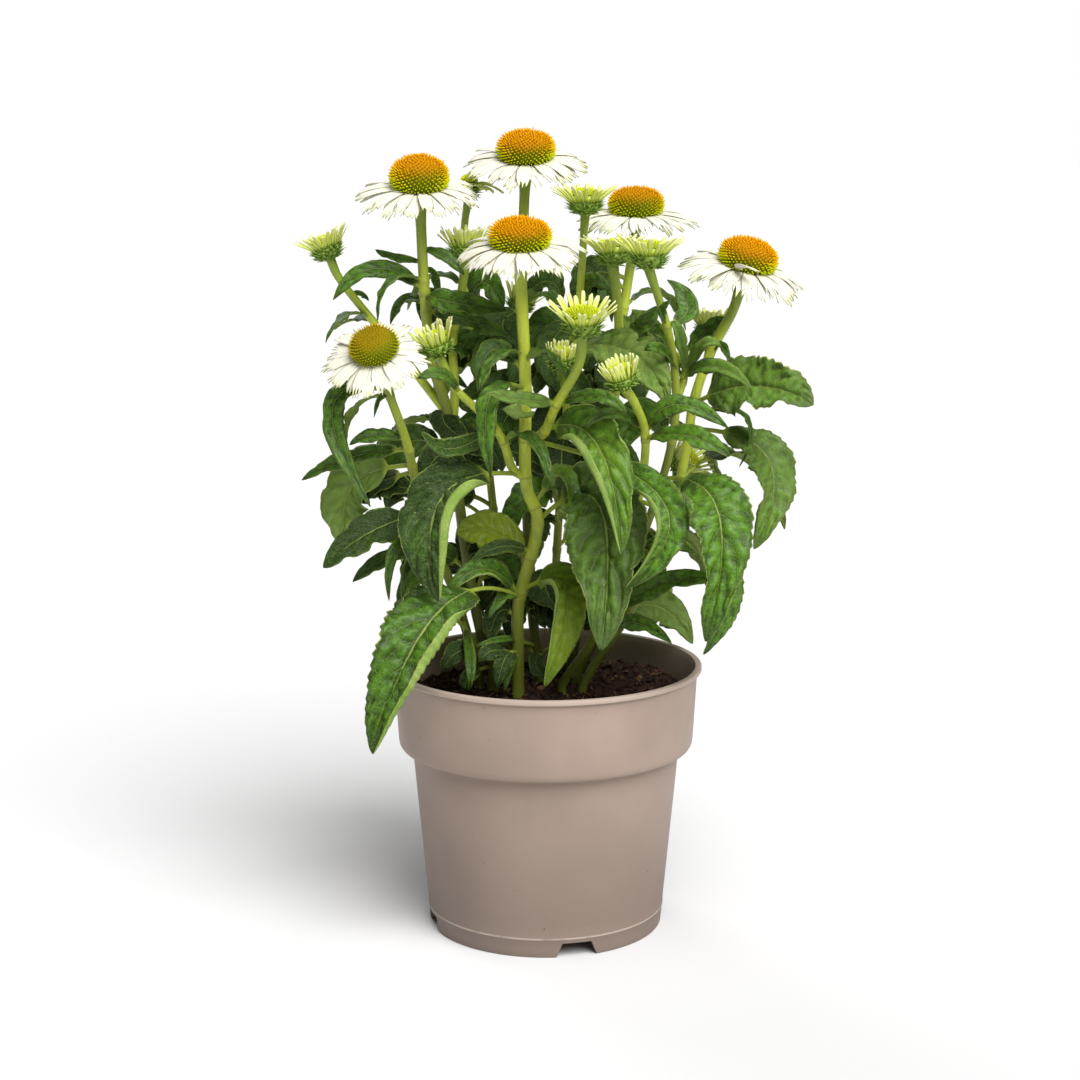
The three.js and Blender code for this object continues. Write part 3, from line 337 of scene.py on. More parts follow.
# How single leaves differ from the rest, by stem and root height: tint from dark through fresh green to
# yellow, how far the margins roll over on the leaf's left and right in radians, the depth of the teeth, how
# matt and pale the upper side is, how deep its pucker is beside the rest, and how far it is twisted.
# Several tints are set lighter or darker to stand for the light or shade on that leaf: painted light and
# shade.
LOOKS = {
    ("front", 204): dict(tint=0.38, roll=(0.2, 1.9), tooth=0.05),
    ("front", 281): dict(tint=0.2, roll=(0.1, 2.7), quilt=1.3),
    ("front", 252): dict(tint=0.32, roll=(0.2, 0.2), tooth=0.03, matt=0.12, quilt=1.2),
    ("frontBud", 310): dict(tint=0.6, roll=(2.7, 0.3)),
    ("near", 279): dict(tint=0.55, roll=(0.6, 0.1), tooth=0.045),
    ("front", 303): dict(tint=0.5, roll=(2.8, 0.2)),
    ("near", 268): dict(tint=0.5, roll=(0.3, 0.3), tooth=0.06),
    ("outer", 321): dict(tint=0.45, roll=(0.2, 0.5), tooth=0.06, matt=0.2),
    ("outer", 306): dict(tint=0.46, roll=(0.2, 0.3), tooth=0.05, matt=0.25),
    ("middle", 352): dict(tint=0.46, roll=(0.2, 0.2), matt=0.7, quilt=1.4, twist=0.0),
    ("low", 288): dict(tint=0.5, roll=(0.5, 0.3), matt=0.45, quilt=0.7),
    ("low", 257): dict(tint=0.2, roll=(0.2, 0.3)),
    ("near", 188): dict(tint=0.54, roll=(0.2, 0.2), twist=0.0),
    ("near", 183): dict(tint=0.54, roll=(0.2, 0.2)),
    ("rightMid", 178): dict(tint=0.42, roll=(0.2, 0.2), matt=0.5),
    ("front", 262): dict(tint=0.66, roll=(0.9, 0.6)),
    ("front", 230): dict(tint=0.85, roll=(0.1, 0.1)),
    ("front", 318): dict(tint=0.4, roll=(0.6, 0.6), matt=0.8),
    ("front", 208): dict(tint=0.74, roll=(1.6, 0.3)),
    ("frontBud", 328): dict(tint=0.5, roll=(0.4, 0.9), matt=0.2),
    ("right", 372): dict(tint=0.44, roll=(0.2, 0.3), matt=0.35),
    ("rightMidSide", 337): dict(tint=0.42, roll=(1.2, 0.2)),
    ("rightMidSide", 340): dict(tint=0.56, roll=(0.3, 0.3), matt=0.3),
    ("rightMidSide", 336): dict(tint=0.44, roll=(0.2, 1.4)),
    ("rightMidSide", 338): dict(tint=0.56, roll=(0.2, 0.4), matt=0.2),
}


def unit(v):
    return v / np.maximum(np.linalg.norm(v, axis=-1, keepdims=True), 1e-9)


def circle(turn):
    """Points on a level circle of radius one."""
    return np.stack([np.cos(turn), np.sin(turn), 0 * turn], -1)


def climb(slope, step):
    """How far out and up a line has come at each of its points, from its slope there in radians."""
    middles = (slope[..., 1:] + slope[..., :-1]) / 2
    start = np.zeros_like(middles[..., :1])
    return [np.concatenate([start, np.cumsum(part(middles) * step, -1)], -1) for part in (np.cos, np.sin)]


def wrap(upper, lower):
    """Rings round a sheet: across its upper side and back across its lower side."""
    return np.concatenate([upper, lower[:, -2:0:-1]], 1)


def wrapped(count):
    """The place across the sheet of each point of such a ring."""
    return [*range(count), *range(count - 2, 0, -1)]


def compass(degrees, up=0.0):
    return np.array([math.cos(math.radians(degrees)), math.sin(math.radians(degrees)), up])


def ease(low, high, x):
    t = np.clip((np.asarray(x, float) - low) / (high - low), 0, 1)
    return t * t * (3 - 2 * t)


def loft(rings):
    """Faces of a closed skin over rings of equal length, each anticlockwise seen from the far end."""
    rows, sides = rings.shape[:2]
    row, side = np.mgrid[0:rows - 1, 0:sides]
    low, ahead = row * sides + side, row * sides + (side + 1) % sides
    walls = np.stack([low, ahead, ahead + sides, low + sides], -1).reshape(-1, 4)
    foot = np.arange(sides)[None, ::-1]
    return [walls, foot, foot[:, ::-1] + (rows - 1) * sides]


def revolve(outline, sides):
    """Rings round +Z, one for each (radius, height) of an outline."""
    turn = np.arange(sides) * TURN / sides
    return np.array([[(r * math.cos(a), r * math.sin(a), z) for a in turn] for r, z in outline])


def spike(sides, outline):
    """A closed round shape along +Z."""
    rings = revolve(outline, sides)
    return rings.reshape(-1, 3), loft(rings)


def through(points, step):
    """A smooth line through points, and at each of its points how many of them lie behind it."""
    p = np.array([2 * points[0] - points[1], *points, 2 * points[-1] - points[-2]])
    line, passed = [], []
    for i in range(len(points) - 1):
        a, b, c, d = p[i:i + 4]
        count = max(2, round(np.linalg.norm(c - b) / step))
        for t in np.arange(count) / count:
            line.append(0.5 * (2 * b + (c - a) * t + (2 * a - 5 * b + 4 * c - d) * t * t
                               + (3 * b - a - 3 * c + d) * t ** 3))
            passed.append(i + t)
    return np.array([*line, points[-1]]), np.array([*passed, len(points) - 1])


def frames_along(line):
    """Two directions across a line at each of its points, carried along it without twist."""
    along = unit(np.gradient(line, axis=0))
    right = unit(np.cross(along[0], (0.3, 1, 0.1)))
    rights = []
    for direction in along:
        right = unit(right - direction * (right @ direction))
        rights.append(right)
    rights = np.array(rights)
    return rights, np.cross(along, rights), along


def facing(axis, hint=(0.13, 0.2, 1)):
    """Turns that bring +Z to each axis."""
    axis = unit(np.atleast_2d(axis).astype(float))
    x = unit(np.cross(np.broadcast_to(hint, axis.shape), axis))
    return np.stack([x, np.cross(axis, x), axis], -1)


class Skin:
    """The closed patches of one piece in millimetres, with the values that its finishes read.

    place and tone are three numbers for each point, whose meaning is told where they are given."""

    def __init__(self, move=None):
        self.points, self.place, self.tone, self.faces, self.finishes = [], [], [], [], []
        self.total = 0
        self.move = move

    def add(self, points, faces, finish=0, place=(0, 0, 0), tone=(0, 0, 0)):
        points = np.asarray(points, float).reshape(-1, 3)
        if self.move:
            turn, shift = self.move
            points = points @ turn.T + shift
        self.points.append(points)
        for kept, values in ((self.place, place), (self.tone, tone)):
            kept.append(np.broadcast_to(np.asarray(values, float).reshape(-1, 3), points.shape))
        for group in faces:
            self.faces.append(group + self.total)
            self.finishes.append(np.full(len(group), finish))
        self.total += len(points)

    def stamp(self, shape, turns, places, scales, finish=0, tone=(0, 0, 0)):
        """Copies of one shape, each turned, scaled along its own axes, put in its place and given its tone.

        place holds the points of the shape itself."""
        points, faces = shape
        count, size = len(places), len(points)
        scales = np.broadcast_to(np.asarray(scales, float), (count, 3))
        copies = np.einsum("kij,kmj->kmi", turns, points[None] * scales[:, None])
        copies = copies + np.asarray(places)[:, None]
        shift = np.arange(count)[:, None, None] * size
        groups = [(group[None] + shift).reshape(-1, group.shape[1]) for group in faces]
        tones = np.broadcast_to(np.asarray(tone, float).reshape(-1, 3), (count, 3))
        self.add(copies, groups, finish, np.tile(points, (count, 1)), np.repeat(tones, size, 0))

    def make(self, name, finishes, slot, *nodes):
        """The piece itself, which rides on the plant and stands for its solids."""
        mesh = bpy.data.meshes.new(name)
        points = np.concatenate(self.points)
        corners = np.concatenate([group.ravel() for group in self.faces])
        lengths = np.concatenate([np.full(len(group), group.shape[1]) for group in self.faces])
        mesh.vertices.add(len(points))
        mesh.vertices.foreach_set("co", (points * MM).ravel())
        mesh.loops.add(len(corners))
        mesh.loops.foreach_set("vertex_index", corners.astype(np.int32))
        mesh.polygons.add(len(lengths))
        mesh.polygons.foreach_set("loop_start", (np.cumsum(lengths) - lengths).astype(np.int32))
        mesh.polygons.foreach_set("material_index", np.concatenate(self.finishes).astype(np.int32))
        mesh.update(calc_edges=True)
        mesh.polygons.foreach_set("use_smooth", np.ones(len(lengths), bool))
        for key, values in (("place", self.place), ("tone", self.tone)):
            layer = mesh.attributes.new(key, "FLOAT_VECTOR", "POINT")
            layer.data.foreach_set("vector", np.concatenate(values).ravel())
        for finish in finishes:
            mesh.materials.append(finish)
        return settle(put(name, mesh), slot, *nodes)


def put(name, data, place=(0, 0, 0), turn=(0, 0, 0)):
    """An object in the scene."""
    thing = bpy.data.objects.new(name, data)
    thing.location, thing.rotation_euler = place, turn
    bpy.context.scene.collection.objects.link(thing)
    return thing


def settle(piece, slot, *nodes):
    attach(piece, "root")
    if nodes:
        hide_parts(*nodes)
    return piece


# ---- finishes ----


def linear(code):
    """A colour written as six hexadecimal digits, as linear red, green and blue."""
    parts = [int(code[i:i + 2], 16) / 255 for i in (0, 2, 4)]
    return tuple(c / 12.92 if c < 0.04045 else ((c + 0.055) / 1.055) ** 2.4 for c in parts)


def darker(colour, share):
    return tuple(c * share for c in colour)


class Finish:
    """A material's nodes, put together one call at a time."""

    def __init__(self, name, **constants):
        self.material = bpy.data.materials.new(name)
        self.material.use_nodes = True
        self.tree = self.material.node_tree
        self.shader = next(n for n in self.tree.nodes if n.type == "BSDF_PRINCIPLED")
        for key, value in constants.items():
            self.shader.inputs[key.replace("_", " ")].default_value = value

    def add(self, kind, inputs=(), out=0, **settings):
        node = self.tree.nodes.new("ShaderNode" + kind)
        for key, value in settings.items():
            setattr(node, key, value)
        for key, value in dict(inputs).items():
            self.feed(node.inputs[key], value)
        return node.outputs[out]

    def feed(self, socket, value):
        if isinstance(value, bpy.types.NodeSocket):
            self.tree.links.new(value, socket)
        elif socket.type == "RGBA":
            socket.default_value = (*value, 1)
        else:
            socket.default_value = value

    def calc(self, operation, *values):
        return self.add("Math", dict(enumerate(values)), operation=operation)

    def plus(self, a, b):
        return self.calc("ADD", a, b)

    def times(self, a, b):
        return self.calc("MULTIPLY", a, b)

    def band(self, value, low, high, to=(0, 1)):
        """Eases from one value to another as the input goes from low to high."""
        return self.add("MapRange", {"Value": value, "From Min": low, "From Max": high, "To Min": to[0],
                                     "To Max": to[1]}, interpolation_type="SMOOTHSTEP")

    def coats(self, colour, *coats):
        """A colour with others laid over it, each given with its cover from 0 to 1."""
        for cover, over in coats:
            colour = self.add("Mix", {0: cover, 6: colour, 7: over}, 2, data_type="RGBA")
        return colour

    def three(self, name):
        """The three numbers that a piece keeps at each point under a name."""
        return self.add("SeparateXYZ", {0: self.add("Attribute", out=1, attribute_name=name)}).node.outputs

    def where(self, stretch=(1, 1, 1)):
        return self.add("Mapping", {"Vector": self.add("TexCoord", out=3), "Scale": stretch})

    def noise(self, scale, detail, vector=None):
        return self.add("TexNoise", {"Vector": vector or self.where(), "Scale": scale, "Detail": detail})

    def bump(self, height, distance, strength):
        return self.add("Bump", {"Height": height, "Distance": distance * MM, "Strength": strength})

    def done(self, colour, normal=None, roughness=None):
        for key, value in (("Base Color", colour), ("Normal", normal), ("Roughness", roughness)):
            if value is not None:
                self.feed(self.shader.inputs[key], value)
        return self.material


# ---- stems ----

FIRST_HEIGHT = 150
BURIED_HEIGHTS = (118, 137)
STEM_SIDES = 18
STEM_STEP = 1.6
STEM_RIBS, RIB_DEPTH = 6, 0.03
JOINT_REACH, JOINT_SWELL = 1.7, 0.5
NECK_LENGTH, NECK_SWELL = 16, 0.24
# How much lighter or darker some stems are painted for the light or shade on them: painted light and shade.
PAINTED_STEM_LIGHT = {"front": 1.3, "left": -1.3, "low": -0.4, "rightMid": -0.9, "top": -0.2}
BRISTLE = spike(3, [(0.06, 0), (0.01, 0.9)])


def centre_line(stem):
    """The points that a stem runs through. One that comes out of the soil starts well inside it."""
    points = [np.array(point, float) for point in stem.path]
    if points[0][2] == FIRST_HEIGHT:
        points[:0] = [np.array([*points[0][:2], z]) for z in BURIED_HEIGHTS]
    return points


def point_at(stem, height):
    line, _ = through(centre_line(stem), 2.5)
    return np.array([np.interp(height, line[:, 2], axis) for axis in line.T])


def grow_stem(skin, name, stem, foliage, rng):
    """A ribbed stalk that swells at each joint and widens under its head, with short bristles.

    place holds the height and the distance from the head in decimetres, and how near a joint is."""
    line, passed = through(centre_line(stem), STEM_STEP)
    right, back, along = frames_along(line)
    joint = np.zeros(len(line))
    for height in {leaf.height for leaf in LEAVES + ARCHED_LEAVES if leaf.stem == name}:
        joint = np.maximum(joint, np.exp(-(((line[:, 2] - height + 1) / JOINT_REACH) ** 2)))
    left = np.linalg.norm(line - line[-1], axis=1)
    foot, top = stem.radii
    radius = foot + (top - foot) * passed / passed[-1]
    radius = (radius + JOINT_SWELL * joint) * (1 + NECK_SWELL * (1 - ease(0, NECK_LENGTH, left)))
    turn = np.arange(STEM_SIDES) * TURN / STEM_SIDES
    ribbed = radius[:, None] * (1 + RIB_DEPTH * np.cos(turn * STEM_RIBS))[None]
    rings = line[:, None] + ribbed[..., None] * (right[:, None] * np.cos(turn)[None, :, None]
                                                 + back[:, None] * np.sin(turn)[None, :, None])
    shade = np.stack([line[:, 2] / 100, left / 100, joint], -1)
    # Stems that are not listed get a random painted light, which lightens or darkens the stem's colour.
    light = rng.random()
    skin.add(rings, loft(rings), 0, np.repeat(shade, STEM_SIDES, 0), (PAINTED_STEM_LIGHT.get(name, light), 0, 0))
    count = int(np.sum(np.linalg.norm(np.diff(line, axis=0), axis=1)) * foliage.bristles)
    pick = rng.integers(2, len(line) - 1, count)
    spin = rng.random(count) * TURN
    outward = right[pick] * np.cos(spin)[:, None] + back[pick] * np.sin(spin)[:, None]
    places = line[pick] + outward * (radius[pick, None] * 0.97)
    scales = np.stack([np.ones(count), np.ones(count), 0.7 + 0.6 * rng.random(count)], -1)
    skin.stamp(BRISTLE, facing(outward + along[pick] * 0.5), places, scales, 3)


# ---- leaves ----

ROW_SPACING, STALK_ROW_SPACING, COLUMN_SPACING = 1.4, 3, 2.9
STALK_HALF_WIDTH = 1.45
TOOTH_SPACING = 5.0
VEIN_SLANT, LEFT_VEINS, RIGHT_VEINS = 0.27, 0.1, 0.5
WAVE_TURN = 6.28
TIGHT_ROLL = 1.5
CROWN_HEIGHT = 330
# Leaves inside the plant take a darker tint, which is painted shade.
CROWN_TINT, INNER_CROWN_SHADE_TINT, INNER_SHADE_TINT = 1.25, 0.7, 0.25


def blade_share(s):
    """Half the width of a blade along its length, beside its widest place."""
    return 2.43 * s ** 0.55 * (1 - s) ** 0.75


def cell_height(x, y, side, seed):
    """The height of the blister at a point of the blade, from 0 in the grooves to 1."""
    near = noise.voronoi((x / 7.5 + side * 7, y / 3.8 - 0.09 * x, seed * 37))[0][0]
    return max(0, 1 - 2 * near * near)


def blade_side(side, rolled, s, v, size, tooth, tint, veins, rng):
    """Half a blade: how far out and up from the midrib its points lie, their pucker and their slope.

    size holds the leaf's length, its width and the share of the length that is stalk."""
    length, width, stalk = size
    waves, phase = rng.uniform(1.6, 3.2), rng.random() * WAVE_TURN
    saw = (s * length * (1 - stalk) / TOOTH_SPACING + rng.random()) % 1
    half = width / 2 * blade_share(s) * (1 + tooth * (2 * saw - 1) + 0.05 * np.sin(s * 9 + phase))
    half = np.sqrt(half ** 2 + (STALK_HALF_WIDTH * (1 - s) ** 1.5) ** 2)
    wave = np.sin(waves * WAVE_TURN * s + phase) + 0.4 * np.sin(waves * 15 * s + phase * 2)
    tight = rolled >= TIGHT_ROLL
    slope = 0.2 + 0.12 * np.sin(s * 5 + phase)[:, None] + (0.2 if tight else 0.6) * wave[:, None] * v ** 2
    slope = slope + rolled * ease(0.02, 0.4, s)[:, None] * ease(0.56, 0.84, v)
    slope = slope * ease(0, 0.1, s)[:, None]
    x, z = climb(slope, np.diff(v))
    rib = (s[:, None] - VEIN_SLANT * v ** 1.2) * veins + (RIGHT_VEINS if side > 0 else LEFT_VEINS)
    pillow = ease(0, 0.4, np.abs((rib + 0.5) % 1 - 0.5)) * ease(0, 0.16, v) * (1 - ease(0.82, 1, v))
    cells = np.array([[cell_height(out, up, side, tint) for out in v * wide]
                      for wide, up in zip(half, s * length)])
    pucker = 0.4 * pillow + 0.6 * cells * ease(0, 0.12, v)
    pucker = pucker * (1 - (ease(0.42, 0.66, v) if tight else ease(0.85, 1, v)))
    pucker = pucker * ease(0.03, 0.2, s)[:, None] * (1 - ease(0.85, 1, s))[:, None]
    return x * half[:, None] * side, z * half[:, None], pucker, slope * side * (v > 0)


def grow_leaf(skin, root, via, tip, width, stalk, face, foliage, rng, tint=None, roll=None, tooth=0.015,
              twist=None, matt=0.0, quilt=1.0):
    """A blade on its stalk: folded along the midrib, puckered between its veins, its margins waved, rolled.

    place holds the share of the blade's length, the share of its half width from -1 to 1 and its length
    in decimetres. tone holds 1 on the upper side and 0 on the under side, the tint and the pucker."""
    bend = 2 * via - (root + tip) / 2
    length = np.linalg.norm(via - root) + np.linalg.norm(tip - via)
    stalk_rows = max(3, round(length * stalk / STALK_ROW_SPACING))
    blade_rows = int(np.clip(length * (1 - stalk) / ROW_SPACING, 10, 90))
    columns = int(np.clip(width / COLUMN_SPACING, 3, 17))
    t = np.concatenate([np.linspace(0, stalk, stalk_rows, endpoint=False),
                        stalk + (1 - stalk) * np.linspace(0, 0.997, blade_rows)])
    s = np.clip((t - stalk) / (1 - stalk), 0, 1)
    v = np.linspace(0, 1, columns + 1)
    t = t[:, None]
    middle = (1 - t) ** 2 * root + 2 * t * (1 - t) * bend + t ** 2 * tip
    along = unit((1 - t) * (bend - root) + t * (tip - bend))
    across = unit(np.cross(along, face))
    up = np.cross(across, along)
    tint = foliage.tint + 0.1 * rng.standard_normal() if tint is None else tint
    roll = rng.uniform(-0.6, 1.1, 2) if roll is None else roll
    twist = rng.normal(0, 0.2) if twist is None else twist
    swing = twist * (s - 0.4)[:, None]
    across, up = across * np.cos(swing) + up * np.sin(swing), up * np.cos(swing) - across * np.sin(swing)
    sides = [blade_side(side, rolled, s, v, (length, width, stalk), tooth, tint, foliage.veins, rng)
             for side, rolled in zip((1, -1), roll)]
    x, z, pucker, lean = [np.concatenate([left[:, :0:-1], right], 1) for right, left in zip(*sides)]
    u = np.concatenate([-v[:0:-1], v])
    on_blade = ease(0, 0.1, s)[:, None]
    size = float(np.clip(width / 40, 0.25, 1.2))
    rib = 1.1 * size * np.exp(-((u * width / 2 / (0.9 + 0.8 * size)) ** 2)) * (1 - s)[:, None]
    stalk_shape, blade_shape = np.sqrt(1 - u ** 2), np.sqrt(1 - u ** 8)
    thick_top = (STALK_HALF_WIDTH * stalk_shape * (1 - on_blade) * 0.8
                 + foliage.blade / MM / 2 * blade_shape * on_blade)
    thick_low = thick_top + rib * on_blade * blade_shape
    lift = foliage.quilting / MM * size * quilt * pucker

    def surface(height):
        wide, high = x - np.sin(lean) * height, z + np.cos(lean) * height
        return middle[:, None] + across[:, None] * wide[..., None] + up[:, None] * high[..., None]

    rings = wrap(surface(lift + thick_top), surface(lift - thick_low))
    order = wrapped(len(u))
    upper = np.array([0.5] + [1 - matt] * (len(u) - 2) + [0.5] + [0] * (len(u) - 2))
    grid = np.broadcast_arrays(s[:, None], u[order][None], length / 100)
    tone = np.broadcast_arrays(upper[None], tint, pucker[:, order])
    skin.add(rings, loft(rings), 1, np.stack(grid, -1), np.stack(tone, -1))


def leaf_place(leaf):
    """Root, a point half way, tip, width, stalk and the direction of the upper side of one leaf."""
    root = point_at(STEMS[leaf.stem], leaf.height)
    if isinstance(leaf, ArchedLeaf):
        outward = compass(leaf.bearing) * leaf.reach
        via = root + compass(leaf.bearing) * leaf.reach * 0.55 + (0, 0, leaf.reach * 0.2 - leaf.drop * 0.1)
        return root, via, root + outward - (0, 0, leaf.drop), *leaf[5:], unit(compass(leaf.bearing, 0.6))
    via, tip = np.array(leaf.via, float), np.array(leaf.tip, float)
    outward = math.degrees(math.atan2(tip[1] - root[1], tip[0] - root[0]))
    face = outward if leaf.face is OUT else leaf.face
    return root, via, tip, leaf.width, leaf.stalk, unit(compass(face, 0.6))


def leaf_look(leaf, foliage):
    """How one leaf differs from the rest: fresher in the crown, painted darker as shade inside the plant,
    or as it is listed.
    """
    shade = CROWN_TINT if leaf.height > CROWN_HEIGHT else 1
    if leaf in INNER_LEAVES:
        shade = INNER_SHADE_TINT if leaf.height < CROWN_HEIGHT else INNER_CROWN_SHADE_TINT
    return LOOKS.get(leaf[:2], {"tint": foliage.tint * shade} if shade != 1 else {})


# ---- heads ----

# The cup's foot, belly and brim of each kind of head, as (radius, height) at size 1.
CUPS = {
    "bloom": ((3.2, -1.5), (9, 3), (10, 6.2)),
    "young": ((3, -1.5), (7, 3), (7.5, 5)),
    "bud": ((3.2, -1.5), (8.8, 2.6), (9.2, 6.4)),
}
CUP_SIDES = 20
SEATS = {"bloom": 6.2, "young": 6.0, "bud": 10.0}
SEAT_GAP = 0.3
HUB_HEIGHT = 1.8
GOLDEN_ANGLE = 2.39996
CURVE_POINTS = 30
CONE_RADIUS, CONE_HEIGHT, CONE_FOOT = 15.6, 15, math.radians(-28)
CORE_SIDES = 40
HUB_SIDES = 24
FLORET = spike(4, [(0.42, -0.8), (0.52, 0.6), (0.44, 1.5), (0.09, 2.6)])
SHORT_FLORET = spike(5, [(0.5, -0.5), (0.6, 0.6), (0.1, 1.5)])


def on_head(stem):
    """The move that takes a shape standing on the origin, +Z up, to the end of its stem."""
    turn = Vector((0, 0, 1)).rotation_difference(Vector(stem.head.lean)).to_matrix()
    return np.array(turn), np.array(stem.path[-1], float)


def cup_top(head):
    """Height of the seat that the rays and the cone stand on."""
    return SEATS[head.kind] * head.size + SEAT_GAP


def lathe(skin, outline, sides, finish, tone=(0, 0, 0)):
    rings = revolve(outline, sides)
    skin.add(rings, loft(rings), finish, (0, 0, 0), tone)


def bract_shape(bend):
    """A slender pointed bract along +Z, one long and one wide, bent back towards -Y."""
    rings = []
    for z, half, thick in ((0, 0.5, 0.2), (0.3, 0.55, 0.2), (0.65, 0.35, 0.14), (1, 0.04, 0.04)):
        y = -bend * z ** 2
        rings.append([(half, y, z), (0, y + thick, z), (-half, y, z), (0, y - thick, z)])
    rings = np.array(rings, float)
    return rings.reshape(-1, 3), loft(rings)


def grow_cup(skin, stem, flowers, rng):
    """The green cup under a head, shaggy with pointed bracts. tone holds the height on it and a draw."""
    head = stem.head
    (r0, z0), (r1, z1), (r2, z2) = [(r * head.size, z * head.size) for r, z in CUPS[head.kind]]
    inner = [(r0 * 0.8, z0), (r1 * 0.9, z1), (r2 * 0.94, z2), (r2 * 0.5, z2 + 0.1)]
    lathe(skin, inner, CUP_SIDES, 2, (0.2, 0, 0))
    count = round(flowers.bracts * (0.8 if head.kind == "young" else 1))
    share = (np.arange(count) + 0.5) / count
    ring = circle(np.arange(count) * GOLDEN_ANGLE + rng.normal(0, 0.12, count))
    height = z0 + (z2 - z0) * (0.12 + 0.85 * share)
    radius = np.interp(height, [z0, z1, z2], [r0, r1, r2]) * 0.93
    rise = 0.25 + 1.0 * share + rng.normal(0, 0.2, count) - (0.9 if head.kind == "bloom" else 0)
    turns = facing(ring + UP * rise[:, None], UP)
    length = head.size * (3.5 + 1.5 * rng.random(count))
    scales = np.stack([1.5 + 0.4 * rng.random(count), 1.5 + 0 * length, length], -1)
    places = ring * radius[:, None] + UP * height[:, None]
    tones = np.stack([share, rng.random(count), np.ones(count)], -1)
    for first, bend in enumerate((1.0, 0.55)):
        other = slice(first, None, 2)
        skin.stamp(bract_shape(bend), turns[other], places[other], scales[other], 2, tones[other])


def grow_ray(skin, turn, foot, length, width, rise, bend, rng, hollow=0.0, teeth=0.16, twist=0.0, sway=0.0,
             rows=14, columns=12):
    """One strap-shaped ray with lengthwise ribs and a torn tip, from a foot at a (radius, height).

    rise and bend are its slope at the foot and how much it falls by the tip, in radians. tone holds the
    share of its length, of its half width, and a draw."""
    u = np.linspace(-1, 1, columns + 1)
    lobes = rng.uniform(2.4, 3.8) * math.pi
    shorter = teeth * (0.5 + 0.5 * np.cos(lobes * (u + rng.uniform(-0.3, 0.3)))) + 0.1 * u ** 4
    shorter = np.minimum(shorter + teeth * 0.8 * rng.random(len(u)), 0.42)
    s = np.linspace(0, 1, rows)[:, None] ** 0.85
    s = s * (1 - shorter * s)
    curve = np.linspace(0, 1, CURVE_POINTS)
    out, up = climb(rise - bend * curve ** 1.3, length / (CURVE_POINTS - 1))
    r, z = np.interp(s, curve, foot[0] + out), np.interp(s, curve, foot[1] + up)
    slope = rise - bend * s ** 1.3
    half = width / 2 * (0.42 + 0.58 * ease(0, 0.5, s)) * (1 - 0.25 * ease(0.7, 1, s))
    swing = twist * s
    height = hollow * half * u ** 2 + 0.17 * np.cos(u * 9.5) * ease(0, 0.3, s) + u * np.sin(swing) * half
    thick = 0.2 * np.sqrt(1 - u ** 6) + 0.1
    side = u * half * np.cos(swing) + sway * length * s ** 2
    c, d = math.cos(turn), math.sin(turn)

    def surface(height):
        out = r - np.sin(slope) * height
        return np.stack([out * c - side * d, out * d + side * c, z + np.cos(slope) * height], -1)

    rings = wrap(surface(height + thick), surface(height - thick))[:, ::-1]
    order = wrapped(len(u))
    tone = np.stack(np.broadcast_arrays(s[:, order], u[order], rng.random()), -1)[:, ::-1]
    # The torn tip is closed by a strip of faces across it, because one face over it all would be bent.
    walls, butt, _ = loft(rings)
    m, i = 2 * columns, np.arange(1, columns - 1)
    torn = np.stack([i - 1, i, m - 2 - i, m - 1 - i], -1)
    corners = np.array([(m - 1, 0, m - 2), (columns - 2, columns - 1, columns)])
    last = (rows - 1) * m
    skin.add(rings, [walls, butt, torn + last, corners + last], 0, (0, 0, 0), tone)


def dome(radius, rise, low, square, lat):
    """Radius, height and outward direction of a dome with squared shoulders, at some latitudes."""
    c, s, p = np.cos(lat), np.sin(lat), 2 / square
    high = s > 0
    lifted = np.maximum(s, 1e-6)
    out = radius * np.where(high, c ** p, c)
    up = rise * (np.where(high, lifted ** p, s) - math.sin(low))
    return out, up, np.where(high, c ** (2 - p), c) / radius, np.where(high, lifted ** (2 - p), s) / rise


def spiral_on_dome(count, radius, rise, low, square=2.0, high=1.55):
    """A golden spiral that covers a dome evenly from foot to top: its points, their outward directions,
    and the share of the dome's height that each has."""
    lat = np.linspace(low, high, 600)
    out, up, _, _ = dome(radius, rise, low, square, lat)
    belt = np.hypot(np.diff(out), np.diff(up)) * (out[1:] + out[:-1])
    area = np.concatenate([[0], np.cumsum(belt)])
    lat = np.interp((np.arange(count) + 0.5) / count * area[-1], area, lat)
    out, up, outward, upward = dome(radius, rise, low, square, lat)
    ring = circle(np.arange(count) * GOLDEN_ANGLE)
    points = ring * out[:, None] + UP * up[:, None]
    return points, unit(ring * outward[:, None] + UP * upward[:, None]), up / (rise * (1 - math.sin(low)))


def grow_cone(skin, head, flowers, rng, fresh):
    """The domed cone: florets in spirals, each a stiff point, on a rounded core.

    tone holds the height on the cone, a draw, and how fresh and green its crown is, which is darker partly
    as painted shade."""
    foot = cup_top(head) + HUB_HEIGHT + SEAT_GAP
    radius, height = CONE_RADIUS * head.size, CONE_HEIGHT * head.size * head.tall
    square = 2.1 if head.tall > 1 else 2.7
    rise = height / (1 - math.sin(CONE_FOOT))
    out, up, _, _ = dome(radius, rise, CONE_FOOT, square, np.linspace(CONE_FOOT, 1.55, 18))
    share = np.repeat(up / height, CORE_SIDES) * (1 - 0.4 * fresh)
    lathe(skin, list(zip(out, foot + up)), CORE_SIDES, 1, np.stack([share, 0.5 + 0 * share, 0 * share], -1))
    count = round(flowers.florets * (1 - 0.2 * fresh))
    points, outward, share = spiral_on_dome(count, radius, rise, CONE_FOOT, square)
    axis = outward + UP * (0.6 * (1 - share))[:, None] + rng.normal(0, 0.1, points.shape)
    length = 1.1 - 0.45 * ease(0.4, 1, share) + 0.14 * rng.standard_normal(len(share))
    wide = (1.1 - 0.25 * share) * (1 - 0.2 * fresh)
    scales = np.stack([wide, wide, length], -1) * head.size
    crown = fresh * (0.4 + 0.4 * ease(0.95, 0.99, share))
    tones = np.stack([share * (1 - 0.3 * fresh), rng.random(len(share)), crown], -1)
    skin.stamp(FLORET, facing(axis), points + UP * foot, scales, 0, tones)


